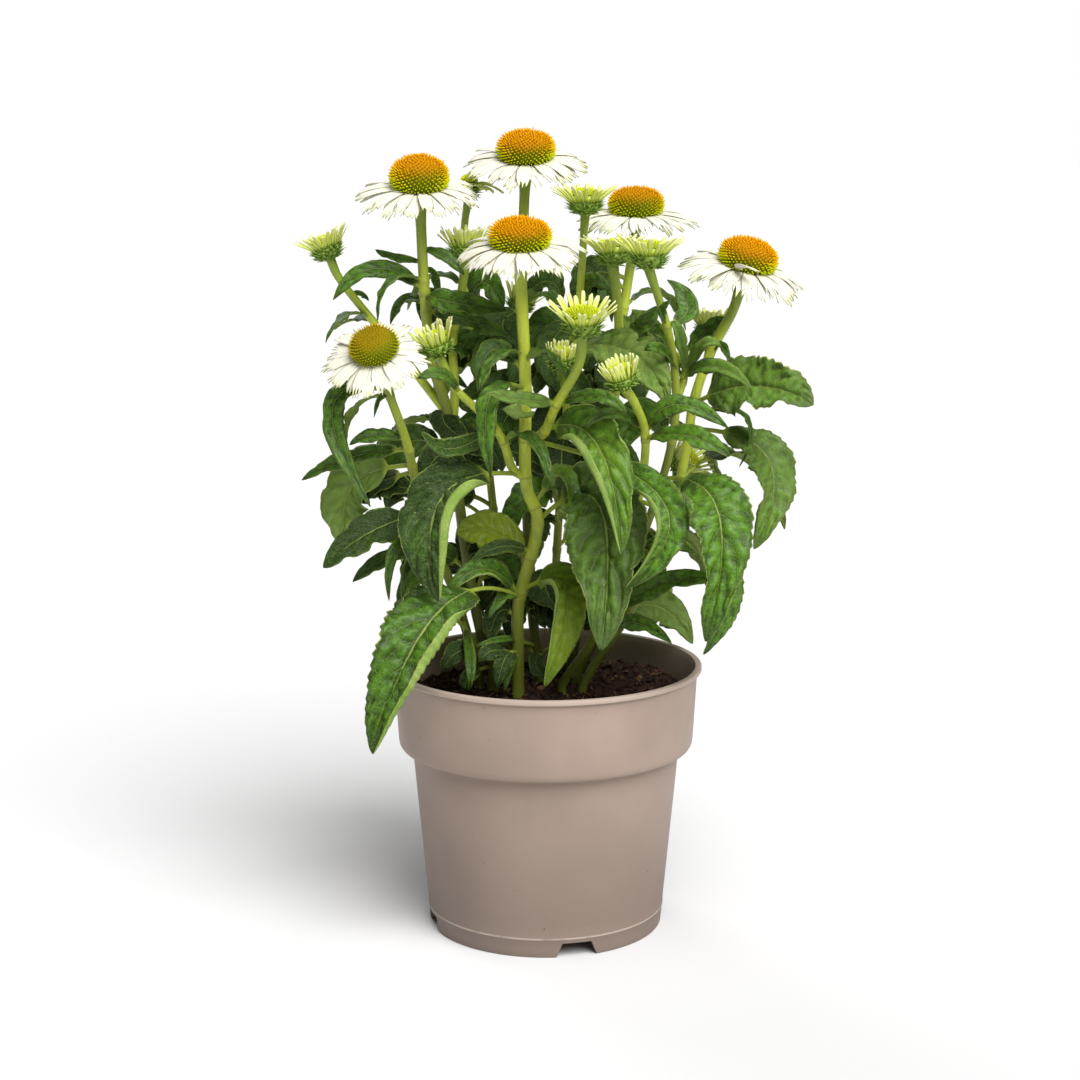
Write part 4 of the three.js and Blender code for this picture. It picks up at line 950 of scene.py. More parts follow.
def grow_disc(skin, radius, foot, height, count, rng, finish=1):
    """A low disc of unopened florets."""
    lats = np.linspace(0, 1.5, 8)
    outline = [(radius * 0.96 * math.cos(a), foot + height * math.sin(a)) for a in lats]
    lathe(skin, outline, HUB_SIDES, finish)
    points, outward, share = spiral_on_dome(count, radius * 0.96, height, 0.0)
    scales = (0.8 + 0.25 * rng.random(count))[:, None] * np.ones(3)
    tones = np.stack([share, rng.random(count), np.ones(count)], -1)
    skin.stamp(SHORT_FLORET, facing(outward + UP * 0.4), points + UP * foot, scales, finish, tones)


# ---- the pot and what fills it ----

POT_OUTLINE = [
    (0.5, 10), (22, 10), (38, 10), (50, 10), (65.4, 10), (66.3, 9.2), (66.9, 1.3), (67.3, 0.4), (68, 0),
    (70.5, 0), (71.2, 0.3), (71.5, 1), (71.9, 5), (72.4, 10.9), (72.75, 11.4), (72.85, 12), (72.8, 12.6),
    (72.6, 13.1), (73.2, 20), (75.1, 40), (76.9, 60), (78.8, 80), (80.6, 100), (81.4, 109), (81.6, 111),
    (82, 111.8), (82.8, 112), (87.2, 112.3), (88.6, 112.9), (89.5, 114.3), (90, 117), (90.8, 130),
    (91.6, 145), (92.2, 155.6), (92.4, 156.4), (92.5, 158.8), (93.4, 159.2), (94.6, 159.4), (95, 159.9),
    (95, 161.6), (94.7, 162.2), (94, 162.5), (92.3, 162.5), (91.3, 162.2), (90.9, 161.3), (90.4, 150),
    (89.4, 130), (88.5, 117), (87.6, 115.2), (86.4, 114.4), (82, 113.9), (80.4, 113.2), (80, 111), (76, 80),
    (71.6, 40), (68.2, 14), (66.6, 12.2), (64, 12), (50, 12), (38, 12), (22, 12), (0.5, 12),
]
POT_SIDES = 144
LINE_HEIGHT = 11.8
FOOT_NOTCH = [(-13, -1), (13, -1), (9, 9), (-9, 9)]
FOOT_NOTCH_REACH, FOOT_NOTCH_BEARINGS = (60, 80), (-75, 15, 105, 195)
DRAIN_HOLE = spike(24, [(5, 6), (5, 16)])
DRAIN_RING = 44
DRAIN_BEARINGS = (45, 135, 225, 315)
SOIL_WALL = [
    (0.5, 12.4), (40, 12.4), (65.9, 12.4), (79.2, 112.6), (80.4, 114.3), (86.9, 116.2), (87.7, 118.2),
    (88.1, 139.5),
]
SOIL_LEVEL, SOIL_RADIUS = 141, 88.1
SOIL_RINGS, SOIL_SIDES = 52, 150
CRUMB = spike(5, [(0.3, -0.42), (0.52, -0.1), (0.5, 0.2), (0.22, 0.45)])
CRUMB_REACH, CRUMB_SIZES, CRUMB_ODDS = 86, [1.6, 2.4, 3.4, 5], [0.4, 0.3, 0.2, 0.1]
CHIP = spike(5, [(0.35, -0.5), (0.5, -0.2), (0.45, 0.3), (0.2, 0.5)])
CHIP_REACH, CHIP_SIZES = 84, [(0.8, 2.2), (0.6, 1.2), (3, 11)]


def prism(outline, depth):
    """A closed block with this outline across X and Z, from the axis out along +Y to a depth."""
    rings = np.array([[(x, y, z) for x, z in outline[::-1]] for y in depth], float)
    return rings, loft(rings)


def cut(piece, cutter):
    """Cuts one piece's shape out of another for good."""
    modifier = piece.modifiers.new("cut", "BOOLEAN")
    modifier.object, modifier.operation, modifier.solver = cutter, "DIFFERENCE", "EXACT"
    done = bpy.data.meshes.new_from_object(piece.evaluated_get(bpy.context.evaluated_depsgraph_get()))
    piece.modifiers.clear()
    old, piece.data = piece.data, done
    done.name = piece.name
    bpy.data.meshes.remove(old)
    bpy.data.objects.remove(cutter)


def soften(piece, degrees):
    """Shades a piece smooth except along its sharper edges."""
    piece.data.set_sharp_from_angle(angle=math.radians(degrees))


def pot_finish(look):
    """Matt plastic with faint clouds, painted shade darkening it towards the foot, a pale worn moulding
    line round the foot and specks of soil.
    """
    f = Finish("Pot plastic", Roughness=look.roughness, Specular_IOR_Level=0.35)
    cloud = f.band(f.noise(16, 3), 0.35, 0.7)
    height = f.add("SeparateXYZ", {0: f.where()}, 2)
    off = f.calc("ABSOLUTE", f.calc("SUBTRACT", height, LINE_HEIGHT * MM))
    line = f.times(f.band(off, 0.0003, 0.0008, (1, 0)), f.band(f.noise(120, 3), 0.25, 0.5, (0.3, 1)))
    colour = f.coats(
        look.shade,
        # Painted shade: the pot is darker from the collar down towards its foot.
        (f.band(height, -0.03, 0.16), look.colour),
        (f.times(cloud, 0.3), look.shade),
        (f.times(line, 0.8), look.edge),
        (f.band(height, 0.1585, 0.1595, (0, 0.35)), look.edge),
        (f.band(f.noise(420, 2), 0.755, 0.775, (0, 0.8)), linear("4a3a2e")))
    roughness = f.band(cloud, 0, 1, (look.roughness, look.roughness + 0.1))
    return f.done(colour, f.bump(f.noise(1500, 2), 0.04, 0.4), roughness)


def build_pot(look):
    skin = Skin()
    lathe(skin, POT_OUTLINE, POT_SIDES, 0)
    piece = skin.make("Pot", [pot_finish(look)], "pot", "pot")
    cutters = Skin()
    for bearing in FOOT_NOTCH_BEARINGS:
        rings, faces = prism(FOOT_NOTCH, FOOT_NOTCH_REACH)
        a = math.radians(bearing - 90)
        turn = np.array([[math.cos(a), math.sin(a), 0], [-math.sin(a), math.cos(a), 0], [0, 0, 1]])
        cutters.add(rings.reshape(-1, 3) @ turn, faces)
    for bearing in DRAIN_BEARINGS:
        points, faces = DRAIN_HOLE
        cutters.add(points + compass(bearing) * DRAIN_RING, faces)
    cut(piece, cutters.make("cutter", [], "pot"))
    soften(piece, 35)


def soil_finish(look):
    """Dark grainy soil. tone says how far a point leans to the brown of bark."""
    f = Finish("Soil", Roughness=0.95, Specular_IOR_Level=0.2)
    grain = f.noise(350, 4)
    bark = f.times(f.three("tone")[1], 0.6)
    colour = f.coats(look.colour, (f.band(grain, 0.3, 0.7), look.light), (bark, linear("8d6b4a")))
    return f.done(colour, f.bump(grain, 0.6, 0.8))


def build_soil(look):
    rng = np.random.default_rng(look.seed)
    skin = Skin()
    top = [(r, SOIL_LEVEL) for r in np.linspace(SOIL_RADIUS, 0.6, SOIL_RINGS)]
    rings = revolve(SOIL_WALL + top, SOIL_SIDES)
    for point in rings[len(SOIL_WALL):].reshape(-1, 3):
        point[2] += soil_lift(*point[:2])
    skin.add(rings, loft(rings))
    count = look.crumbs
    radius, bearing = CRUMB_REACH * np.sqrt(rng.random(count)), np.radians(rng.random(count) * 360)
    spots = zip(radius * np.cos(bearing), radius * np.sin(bearing))
    places = np.array([(x, y, SOIL_LEVEL + soil_lift(x, y) + 0.2) for x, y in spots])
    size = rng.choice(CRUMB_SIZES, count, p=CRUMB_ODDS)
    scales = size[:, None] * rng.uniform(0.6, 1.2, (count, 3))
    tones = np.stack([rng.random(count), rng.random(count) ** 6, rng.random(count)], -1)
    skin.stamp(CRUMB, facing(rng.normal(0, 1, (count, 3))), places, scales, 0, tones)
    count = look.chips
    radius, bearing = CHIP_REACH * np.sqrt(rng.random(count)), rng.random(count) * 6.283
    spots = zip(radius * np.cos(bearing), radius * np.sin(bearing))
    places = np.array([(x, y, SOIL_LEVEL + soil_lift(x, y) + 1.2) for x, y in spots])
    axis = np.stack([*rng.normal(0, 1, (2, count)), rng.normal(0, 0.2, count)], -1)
    scales = np.stack([rng.uniform(low, high, count) for low, high in CHIP_SIZES], -1)
    tones = np.stack([rng.random(count), rng.uniform(0.1, 0.8, count), rng.random(count)], -1)
    skin.stamp(CHIP, facing(axis), places, scales, 0, tones)
    soften(skin.make("Soil", [soil_finish(look)], "soil", "soil"), 50)


def soil_lift(x, y):
    """Height of the lumps of the soil's top over its level."""
    mound = 8 * math.exp(-((x - 46) ** 2 + (y - 36) ** 2) / 1100)
    return (mound + 2.2 * noise.noise((x / 23, y / 23, 3)) + 3.0 * noise.noise((x / 9, y / 9, 1))
            + 1.8 * noise.noise((x / 3.2, y / 3.2, 7)))


# ---- the plant's finishes ----


def stem_finish(look):
    """Yellow-green, duller at the foot, darker under the head as painted shade, with specks and a line at
    each joint.
    """
    f = Finish("Stem", Roughness=0.42, Specular_IOR_Level=0.4)
    place, tone = f.three("place"), f.three("tone")
    # The stem's painted light shifts where its colour turns from the foot's to the top's.
    height = f.plus(place[0], f.times(tone[0], 0.8))
    # Painted shade under the head, weaker on the stems that are painted lighter.
    neck_shade = f.times(f.band(place[1], 0.02, 0.6, (0.75, 0)), f.band(tone[0], 0.6, 1.3, (1, 0.3)))
    streaks = f.noise(500, 3, f.where((1, 1, 0.06)))
    colour = f.coats(
        look.stem_low,
        (f.band(height, 1.7, 3.8), look.stem),
        # Painted shade: the stems darken further near the soil, under the leaves.
        (f.band(place[0], 1.5, 3.2, (0.75, 0)), darker(look.stem_low, 0.55)),
        (neck_shade, look.neck_shade),
        (f.band(streaks, 0.45, 0.75, (0, 0.35)), linear("647a2b")),
        (f.band(f.noise(90, 2), 0.5, 0.7, (0, 0.35)), linear("7d8f38")),
        (f.band(f.noise(2300, 2), 0.6, 0.68, (0, 0.4)), linear("555a24")),
        (f.band(place[2], 0.6, 1, (0, 0.55)), linear("77703a")))
    return f.done(colour, f.bump(streaks, 0.2, 0.5))


def leaf_finish(look):
    """Upper side dark and glossy between sunken veins, painted shade in its grooves, under side paler and
    matt, margins light.
    """
    f = Finish("Leaf", Specular_IOR_Level=0.28)
    (along, side, _), (upper, tint, pucker) = f.three("place"), f.three("tone")
    across = f.calc("ABSOLUTE", side)
    lag = f.times(f.calc("POWER", across, 1.2), -VEIN_SLANT)
    first = f.add("MapRange", {"Value": side, "From Min": -0.001, "From Max": 0.001,
                               "To Min": LEFT_VEINS, "To Max": RIGHT_VEINS})
    rib = f.plus(f.times(f.plus(along, lag), look.veins), first)
    rib = f.calc("FRACT", f.plus(rib, 0.5))
    rib = f.calc("ABSOLUTE", f.calc("SUBTRACT", rib, 0.5))
    vein = f.times(f.band(rib, 0.012, 0.05, (1, 0)), f.band(across, 0.3, 0.95, (1, 0)))
    midrib = f.band(across, 0.012, 0.045, (1, 0))
    lines = f.calc("MAXIMUM", vein, midrib)
    cells = f.add("TexVoronoi", {"Vector": f.where(), "Scale": 480.0}, feature="DISTANCE_TO_EDGE")
    net = f.band(cells, 0.02, 0.14, (1, 0))
    cloudy = f.plus(tint, f.times(f.calc("SUBTRACT", f.noise(38, 3), 0.5), 0.35))
    top = f.coats(
        look.dark,
        (f.band(cloudy, 0.1, 0.55), look.fresh),
        (f.band(cloudy, 0.55, 0.9), look.yellow),
        # Painted shade in the grooves between the blisters, less on yellower leaves.
        (f.times(f.band(pucker, 0, 0.75, (0.85, 0)), f.band(cloudy, 0.5, 0.85, (1, 0.2))), look.dark),
        (f.times(vein, 0.16), look.vein),
        (f.times(midrib, f.band(along, 0.1, 0.95, (0.62, 0.3))), look.vein),
        (f.times(net, 0.1), look.vein))
    under = f.coats(
        look.under,
        (f.band(f.noise(60, 2), 0.35, 0.7, (0, 0.45)), look.fresh),
        (f.times(lines, 0.6), look.vein),
        (f.times(net, 0.25), look.fresh))
    colour = f.coats(
        under,
        (upper, top),
        (f.band(along, 0.0, 0.05, (0.85, 0)), look.stalk),
        (f.band(across, 0.95, 0.99, (0, 0.75)), look.vein),
        (f.band(f.noise(800, 2), 0.74, 0.78, (0, 0.5)), linear("b8a15a")))
    relief = f.plus(f.plus(f.times(lines, -1.0), f.times(net, -0.6)), f.times(f.noise(1100, 2), 0.15))
    matt = f.add("MapRange", {"Value": upper, "To Min": 0.62, "To Max": 0.3})
    matt = f.plus(f.plus(matt, f.times(f.noise(160, 2), 0.14)), f.band(tint, 0.14, 0.36, (0.3, 0)))
    return f.done(colour, f.bump(relief, 0.3, 0.7), matt)


def bract_finish(look):
    """Green bracts, with painted shade at the foot and paler at the point."""
    f = Finish("Bract", Roughness=0.6, Specular_IOR_Level=0.3)
    height = f.three("place")[2]
    return f.done(f.coats(
        look.bract,
        (f.three("tone")[1], look.fresh),
        # Painted shade at the feet of the bracts.
        (f.band(height, 0.0, 0.4, (0.3, 0)), look.dark),
        (f.band(height, 0.45, 1, (0, 0.8)), look.bract_tip)))


def bristle_finish():
    return Finish("Bristle", Roughness=0.5).done(linear("c9d2a4"))


def ray_finish(look):
    """Chalky rays with grey-beige lines along them, partly their own streaks and partly painted shade, pale
    yellow at the torn tips, with a few tan flecks.
    """
    f = Finish("Ray", Roughness=0.6, Specular_IOR_Level=0.25)
    along, side, draw = f.three("tone")
    grain = f.add("CombineXYZ", {0: f.times(side, 2.6), 1: f.times(along, 0.7), 2: f.times(draw, 60.0)})
    lanes = f.noise(2.2, 3, grain)
    fleck = f.times(f.band(f.noise(300, 2), 0.7, 0.76), f.band(along, 0.3, 0.8))
    colour = f.coats(
        linear("c3ca8c"),
        (f.band(along, 0.0, 0.2), look.ray),
        # The lines along the rays are partly their own streaks and partly painted shade.
        (f.band(lanes, 0.45, 0.72, (0, 0.75)), look.ray_shade),
        (f.band(f.plus(along, f.times(lanes, 0.25)), 0.86, 1.08, (0, 0.9)), look.ray_tip),
        (f.times(fleck, 0.6), linear("b98e72")))
    return f.done(colour, f.bump(f.calc("COSINE", f.times(side, 16.0)), 0.12, 0.5))


def painted_cone_shade(f, look, height):
    """The painted shade between the florets of a cone, from a dark colour and a darkened copy of the top's.
    """
    return f.coats(look.cone_deep_shade, (f.band(height, 0.35, 0.9), darker(look.cone_top, 0.45)))


def floret_finish(look):
    """Florets yellow-green at the cone's foot and bright orange at its top, with painted shade at their
    feet.
    """
    f = Finish("Floret", Roughness=0.6, Specular_IOR_Level=0.03)
    share, draw, crown = f.three("tone")
    height = f.plus(share, f.times(f.calc("SUBTRACT", draw, 0.5), 0.2))
    colour = f.coats(
        look.cone_low,
        (f.band(height, 0.12, 0.5), look.cone_middle),
        (f.band(height, 0.42, 0.8), look.cone_top),
        (crown, look.cone_fresh_and_shade))
    return f.done(f.coats(painted_cone_shade(f, look, height), (f.band(f.three("place")[2], 0.1, 1.3), colour)))


# The cone's core is coloured with the painted shade between the florets.
def core_finish(look):
    f = Finish("Cone core", Roughness=0.8, Specular_IOR_Level=0.1)
    return f.done(painted_cone_shade(f, look, f.three("tone")[0]))


def strap_finish(look):
    """The pale straps of a bud: green at the foot, almost white at the tip."""
    f = Finish("Strap", Roughness=0.55, Specular_IOR_Level=0.3)
    along, side, draw = f.three("tone")
    colour = f.coats(
        look.strap_foot,
        (f.band(along, 0.0, 0.5), look.strap),
        (f.band(along, 0.55, 1), look.strap_tip),
        (f.times(draw, 0.35), look.strap))
    return f.done(colour, f.bump(f.calc("COSINE", f.times(side, 10.0)), 0.1, 0.5))


def disc_finish(look):
    """Unopened florets, lighter at their points, with painted shade at their feet."""
    f = Finish("Disc", Roughness=0.5, Specular_IOR_Level=0.3)
    colour = f.coats(look.disc, (f.three("tone")[1], look.disc_light))
    # Painted shade: the florets are darker at their feet.
    return f.done(f.coats(darker(look.disc, 0.75), (f.band(f.three("place")[2], -0.3, 0.7), colour)))


# ---- the plant's pieces ----

RAY_LENGTH = 33
# How green and dark each cone's crown is: a younger crown, darkened partly as painted shade.
GREEN_SHADED_CROWNS = {"f": 1.0, "d": 0.3}
FOLDED_RAY = "e"
CROWDED = {"f": (-0.2, 0.7)}
CROWDED_LENGTH = 0.74
YOUNG_HUB, YOUNG_RAYS, YOUNG_FLORETS = [(4, 0), (7.6, 0.4), (7, 1.4), (3, 1.4)], 22, 100
BUD_HUB, STRAPS, BUD_FLORETS = [(5, 0), (8, 0.1), (8.4, 4), (4, 4.2)], 25, 170


def heads(kind, seed):
    """The stems that carry heads of one kind, each with its own draws."""
    for number, stem in enumerate(STEMS.values()):
        if stem.head.kind == kind:
            yield stem, np.random.default_rng([seed, number])


def grow_hub(skin, outline, size, foot):
    """The low drum under a head that its rays or straps stand on."""
    lathe(skin, [(r * size, foot + h * size) for r, h in outline], CUP_SIDES, 0)


def round_head(count, play, rng, first=0.0):
    """The numbers and directions of the rays round a head, each a little out of its even place."""
    for i in range(count):
        yield i, (first + i + rng.uniform(-play, play)) * TURN / count


def build_stems(foliage, flowers):
    """One leafy piece for each stem out of the soil, with its side branches."""
    finishes = [stem_finish(foliage), leaf_finish(foliage), bract_finish(foliage), bristle_finish()]
    for node in dict.fromkeys(stem.node for stem in STEMS.values()):
        skin = Skin()
        for number, (name, stem) in enumerate(STEMS.items()):
            if stem.node == node:
                grow_stem(skin, name, stem, foliage, np.random.default_rng([foliage.seed, number]))
                skin.move = on_head(stem)
                grow_cup(skin, stem, flowers, np.random.default_rng([foliage.seed, number, 1]))
                skin.move = None
        for number, leaf in enumerate(LEAVES + ARCHED_LEAVES + SMALL_LEAVES + INNER_LEAVES):
            if STEMS[leaf.stem].node == node:
                rng = np.random.default_rng([foliage.seed, number, 2])
                grow_leaf(skin, *leaf_place(leaf), foliage, rng, **leaf_look(leaf, foliage))
        skin.make(node.capitalize(), finishes, "leaf", node)


def build_flowers(flowers):
    """A ring of rays and a cone for each open flower."""
    rays, cone = ray_finish(flowers), [floret_finish(flowers), core_finish(flowers)]
    for stem, rng in heads("bloom", flowers.seed):
        head, skin = stem.head, Skin(on_head(stem))
        size, seat, foot = head.size, cup_top(head), cup_top(head) + HUB_HEIGHT * 0.4
        hub = [(6 * size, seat), (11 * size, foot), (10 * size, foot + 1), (5 * size, foot + 1)]
        lathe(skin, hub, HUB_SIDES, 0)
        low, high = CROWDED.get(head.name, (0, 0))
        for i, turn in round_head(flowers.rays, 0.25, rng, rng.random()):
            under = i % 2
            length = RAY_LENGTH * size * rng.uniform(0.86, 1.03)
            if low < math.remainder(turn, TURN) < high:
                length = length * CROWDED_LENGTH
            fall = head.spread + 4.5 + 1.5 * under + rng.uniform(-2.5, 2.5)
            rise = 0.15 - 0.04 * under
            width = flowers.ray_width / MM * size * rng.uniform(0.82, 1.1)
            grow_ray(skin, turn, (9 * size, foot + 0.5 - 0.5 * under), length, width, rise,
                     2.3 * (rise + fall / length), rng, hollow=rng.uniform(-0.08, 0.12),
                     teeth=rng.uniform(0.12, 0.3), twist=rng.normal(0, 0.08), sway=rng.normal(0, 0.05))
        if head.name == FOLDED_RAY:
            foot = (15.5 * size, foot + 2)
            grow_ray(skin, math.radians(-112), foot, 19 * size, 8 * size, 0.8, 0.9, rng, sway=0.9)
        skin.make(f"Rays_{head.name}", [rays], "ray", f"rays_{head.name}")
        skin = Skin(on_head(stem))
        grow_cone(skin, head, flowers, rng, GREEN_SHADED_CROWNS.get(head.name, 0.0))
        skin.make(f"Cone_{head.name}", cone, "cone", f"cone_{head.name}")


def build_young(flowers):
    """The flower that is just opening: short pale rays, longest on its right, round a small disc."""
    stem, _ = next(heads("young", 0))
    head, rng = stem.head, np.random.default_rng(flowers.seed)
    size, foot = head.size, cup_top(head)
    skin = Skin(on_head(stem))
    grow_hub(skin, YOUNG_HUB, size, foot)
    for _, turn in round_head(YOUNG_RAYS, 0.2, rng):
        right = 0.5 + 0.5 * math.cos(turn)
        length = (9.5 + 7 * right) * size * rng.uniform(0.85, 1.1)
        rise = rng.normal(0.16 - 0.16 * right, 0.06)
        grow_ray(skin, turn, (6.5 * size, foot + 0.8), length, 3.6 * size, rise, 0.3 + 0.5 * right, rng,
                 hollow=0.2, teeth=0.12, rows=8, columns=4)
    skin.make("Rays_g", [strap_finish(flowers)], "bud_ray", "rays_g")
    skin = Skin(on_head(stem))
    grow_disc(skin, 4.6 * size, foot + 2.2, 3 * size, YOUNG_FLORETS, rng, 0)
    skin.make("Cone_g", [disc_finish(flowers)], "bud_disc", "cone_g")


def build_buds(flowers):
    """Every unopened head: a low disc of florets in a ring of upright straps out of the cup's bracts."""
    finishes = [strap_finish(flowers), disc_finish(flowers)]
    for stem, rng in heads("bud", flowers.seed):
        head, skin = stem.head, Skin(on_head(stem))
        size, foot = head.size, CUPS["bud"][2][1] * head.size + 0.2
        grow_hub(skin, BUD_HUB, size, foot)
        lean = math.radians(9 + 37 * head.spread)
        for _, turn in round_head(STRAPS, 0.25, rng):
            length = (12.5 + 3 * head.spread) * size * rng.uniform(0.85, 1.08)
            width = size * rng.uniform(2.4, 3.1)
            rise = math.pi / 2 - lean + rng.normal(0, 0.08)
            grow_ray(skin, turn, (8.2 * size, foot), length, width, rise, 0.5 * head.spread - 0.3, rng,
                     hollow=0.25, teeth=0.06, twist=rng.normal(0, 0.15), sway=rng.normal(0, 0.03), rows=9,
                     columns=4)
        grow_disc(skin, 8.6 * size, foot + 4.4 * size, 3 * size, BUD_FLORETS, rng)
        skin.make(f"Bud_{head.name}", finishes, "bud_ray", f"bud_{head.name}")


# ---- the stage ----

FLOOR_CORNERS = [(-30, -12, 0), (30, -12, 0), (30, 60, 0), (-30, 60, 0)]
SUNS = [
    ("Key", (0.55, -1.0, 1.2), 45, 4.0),
    ("Top", (0.1, -0.4, 1.5), 40, 1.2),
    ("Rim", (-0.7, 1.1, 1.0), 30, 0.8),
]
CAMERA_PLACE, CAMERA_TILT, CAMERA_LENS = (-0.0035, -1.2508, 0.4665), 79.653, 70.16


def light_world(look):
    """Light from all round, dim from above and from the sides. The backdrop itself looks plain white."""
    world = bpy.data.worlds.new("Studio")
    world.use_nodes = True
    nodes, links = world.node_tree.nodes, world.node_tree.links
    direction = nodes.new("ShaderNodeSeparateXYZ")
    links.new(nodes.new("ShaderNodeTexCoord").outputs["Generated"], direction.inputs[0])
    both, plain = nodes.new("ShaderNodeMath"), nodes.new("ShaderNodeMath")
    both.operation, plain.operation = "MULTIPLY", "MAXIMUM"
    fades = ("Z", (0.08, 0.25, 1.0, look.overhead)), ("Y", (0.5, 0.9, look.sides, 1.0))
    for slot, (axis, values) in enumerate(fades):
        fade = nodes.new("ShaderNodeMapRange")
        for key, value in zip(("From Min", "From Max", "To Min", "To Max"), values):
            fade.inputs[key].default_value = value
        links.new(direction.outputs[axis], fade.inputs["Value"])
        links.new(fade.outputs[0], both.inputs[slot])
    links.new(both.outputs[0], plain.inputs[0])
    links.new(nodes.new("ShaderNodeLightPath").outputs["Is Camera Ray"], plain.inputs[1])
    background = next(n for n in nodes if n.type == "BACKGROUND")
    links.new(plain.outputs[0], background.inputs["Color"])
    background.inputs["Strength"].default_value = look.sky
    return world


def build_stage(look):
    """The floor, the lights and the camera."""
    mesh = bpy.data.meshes.new("Floor")
    mesh.from_pydata(FLOOR_CORNERS, [], [(0, 1, 2, 3)])
    mesh.materials.append(Finish("Floor", Roughness=0.9, Specular_IOR_Level=0.1).done(look.floor))
    put("Floor", mesh)
    for name, place, spread, power in SUNS:
        light = bpy.data.lights.new(name, "SUN")
        light.angle, light.energy = math.radians(spread), power * look.light
        put(name, light, place, Vector(place).to_track_quat("Z", "Y").to_euler())
    camera = bpy.data.cameras.new("Camera")
    camera.lens, camera.sensor_width, camera.clip_end = CAMERA_LENS, 36, 200
    scene = bpy.context.scene
    scene.world = light_world(look)
    scene.camera = put("Camera", camera, CAMERA_PLACE, (math.radians(CAMERA_TILT), 0, 0))
    scene.view_settings.view_transform = "Standard"


# ---- what a user can change ----


def colour(name, description, code):
    return FloatVectorProperty(name=name, description=description, subtype="COLOR", size=3, min=0, max=1,
                               default=linear(code))


def number(name, description, value, low, high, kind=IntProperty, **more):
    return kind(name=name, description=description, default=value, min=low, max=high, **more)


def strength(*values):
    return number(*values, kind=FloatProperty)


def amount(*values):
    return number(*values, kind=FloatProperty, subtype="FACTOR")


def length(*values):
    return number(*values, kind=FloatProperty, unit="LENGTH", subtype="DISTANCE", precision=4)


class PotLook(bpy.types.PropertyGroup):
    colour: colour("Colour", "Main colour of the pot", "a59184")
    # The shade colour serves the pot's own clouding and the painted shade towards its foot.
    shade: colour("Shade", "Darker colour of the pot's clouding and of its foot", "7b6c62")
    edge: colour("Moulding line", "Colour of the worn line round the foot", "b9aca0")
    roughness: amount("Roughness", "How matt the pot is", 0.5, 0.05, 1)


class SoilLook(bpy.types.PropertyGroup):
    colour: colour("Colour", "Main colour of the soil", "1a0f0b")
    light: colour("Lighter colour", "Colour of the soil's dry grains", "3a251d")
    crumbs: number("Crumbs", "How many crumbs lie on the soil", 1600, 0, 3000)
    chips: number("Chips", "How many bits of bark lie on the soil", 60, 0, 400)
    seed: number("Seed", "Draw that sets where the crumbs lie", 4, 0, 999)


class FoliageLook(bpy.types.PropertyGroup):
    blade: length("Blade thickness", "How thick a leaf blade is", 0.0006, 0.0003, 0.002)
    quilting: length("Quilting", "Height of the puckers of the widest leaves", 0.0031, 0, 0.005)
    veins: strength("Veins", "Pairs of side veins on a leaf", 7, 2, 14)
    bristles: strength("Bristles", "Bristles on each millimetre of stem", 2.2, 0, 10)
    tint: amount("Tint", "How far the leaves lean from dark green to yellow", 0.36, 0, 1)
    # The dark green is also the painted shade in the leaves' grooves and at the bracts' feet.
    dark: colour("Dark green", "Colour of the oldest leaves", "1a320a")
    fresh: colour("Fresh green", "Colour of most leaves", "4d7817")
    yellow: colour("Yellow green", "Colour of the youngest leaves", "7e9016")
    under: colour("Under side", "Colour of the leaves' under sides", "8ea252")
    vein: colour("Veins", "Colour of veins and margins", "a6b858")
    stalk: colour("Leaf stalks", "Colour of the leaves' stalks", "98a83a")
    stem: colour("Stem", "Colour of the stems at the top", "c4d242")
    # The stem foot colour is partly the stems' own duller green and partly painted shade under the leaves.
    stem_low: colour("Stem foot", "Colour of the stems at the foot", "6c7626")
    # The neck colour is painted shade under a head.
    neck_shade: colour("Neck", "Colour of a stem just under its head", "5f7a22")
    bract: colour("Bracts", "Colour of the bracts under a head", "93b344")
    bract_tip: colour("Bract points", "Colour of the bracts' points", "bfd468")
    seed: number("Seed", "Draw that sets how each leaf is waved and puckered", 11, 0, 999)


class FlowerLook(bpy.types.PropertyGroup):
    rays: number("Rays", "Rays on an open flower", 27, 8, 40)
    ray_width: length("Ray width", "Width of a ray", 0.0098, 0.002, 0.015)
    florets: number("Florets", "Florets on a cone", 540, 80, 1500)
    bracts: number("Bracts", "Bracts on the cup under a head", 90, 0, 200)
    ray: colour("Rays", "Colour of the rays", "e0ddcb")
    ray_shade: colour("Ray lines", "Colour of the lines along the rays", "d0ccb8")
    ray_tip: colour("Ray tips", "Colour of the rays' tips", "ccd08a")
    cone_top: colour("Cone top", "Colour of the florets on top of a cone", "f2a800")
    cone_middle: colour("Cone middle", "Colour of the florets half way up a cone", "dcb804")
    cone_low: colour("Cone foot", "Colour of the florets at a cone's foot", "c6d014")
    # The cone depth colour is painted shade between the florets.
    cone_deep_shade: colour("Cone depth", "Colour between the florets at a cone's foot", "66720a")
    # The crown colour is a younger cone's green, darkened partly as painted shade.
    cone_fresh_and_shade: colour("Cone crown", "Colour of a younger cone's crown", "6c6c06")
    strap_foot: colour("Strap feet", "Colour of the feet of a bud's straps", "a6ba3c")
    strap: colour("Straps", "Colour of a bud's straps", "d8e070")
    strap_tip: colour("Strap tips", "Colour of the tips of a bud's straps", "ecefb4")
    disc: colour("Disc", "Colour of a bud's disc", "a9b916")
    disc_light: colour("Disc, lighter", "Lighter colour of a bud's disc", "d6da26")
    seed: number("Seed", "Draw that sets how the rays and bracts vary", 7, 0, 999)


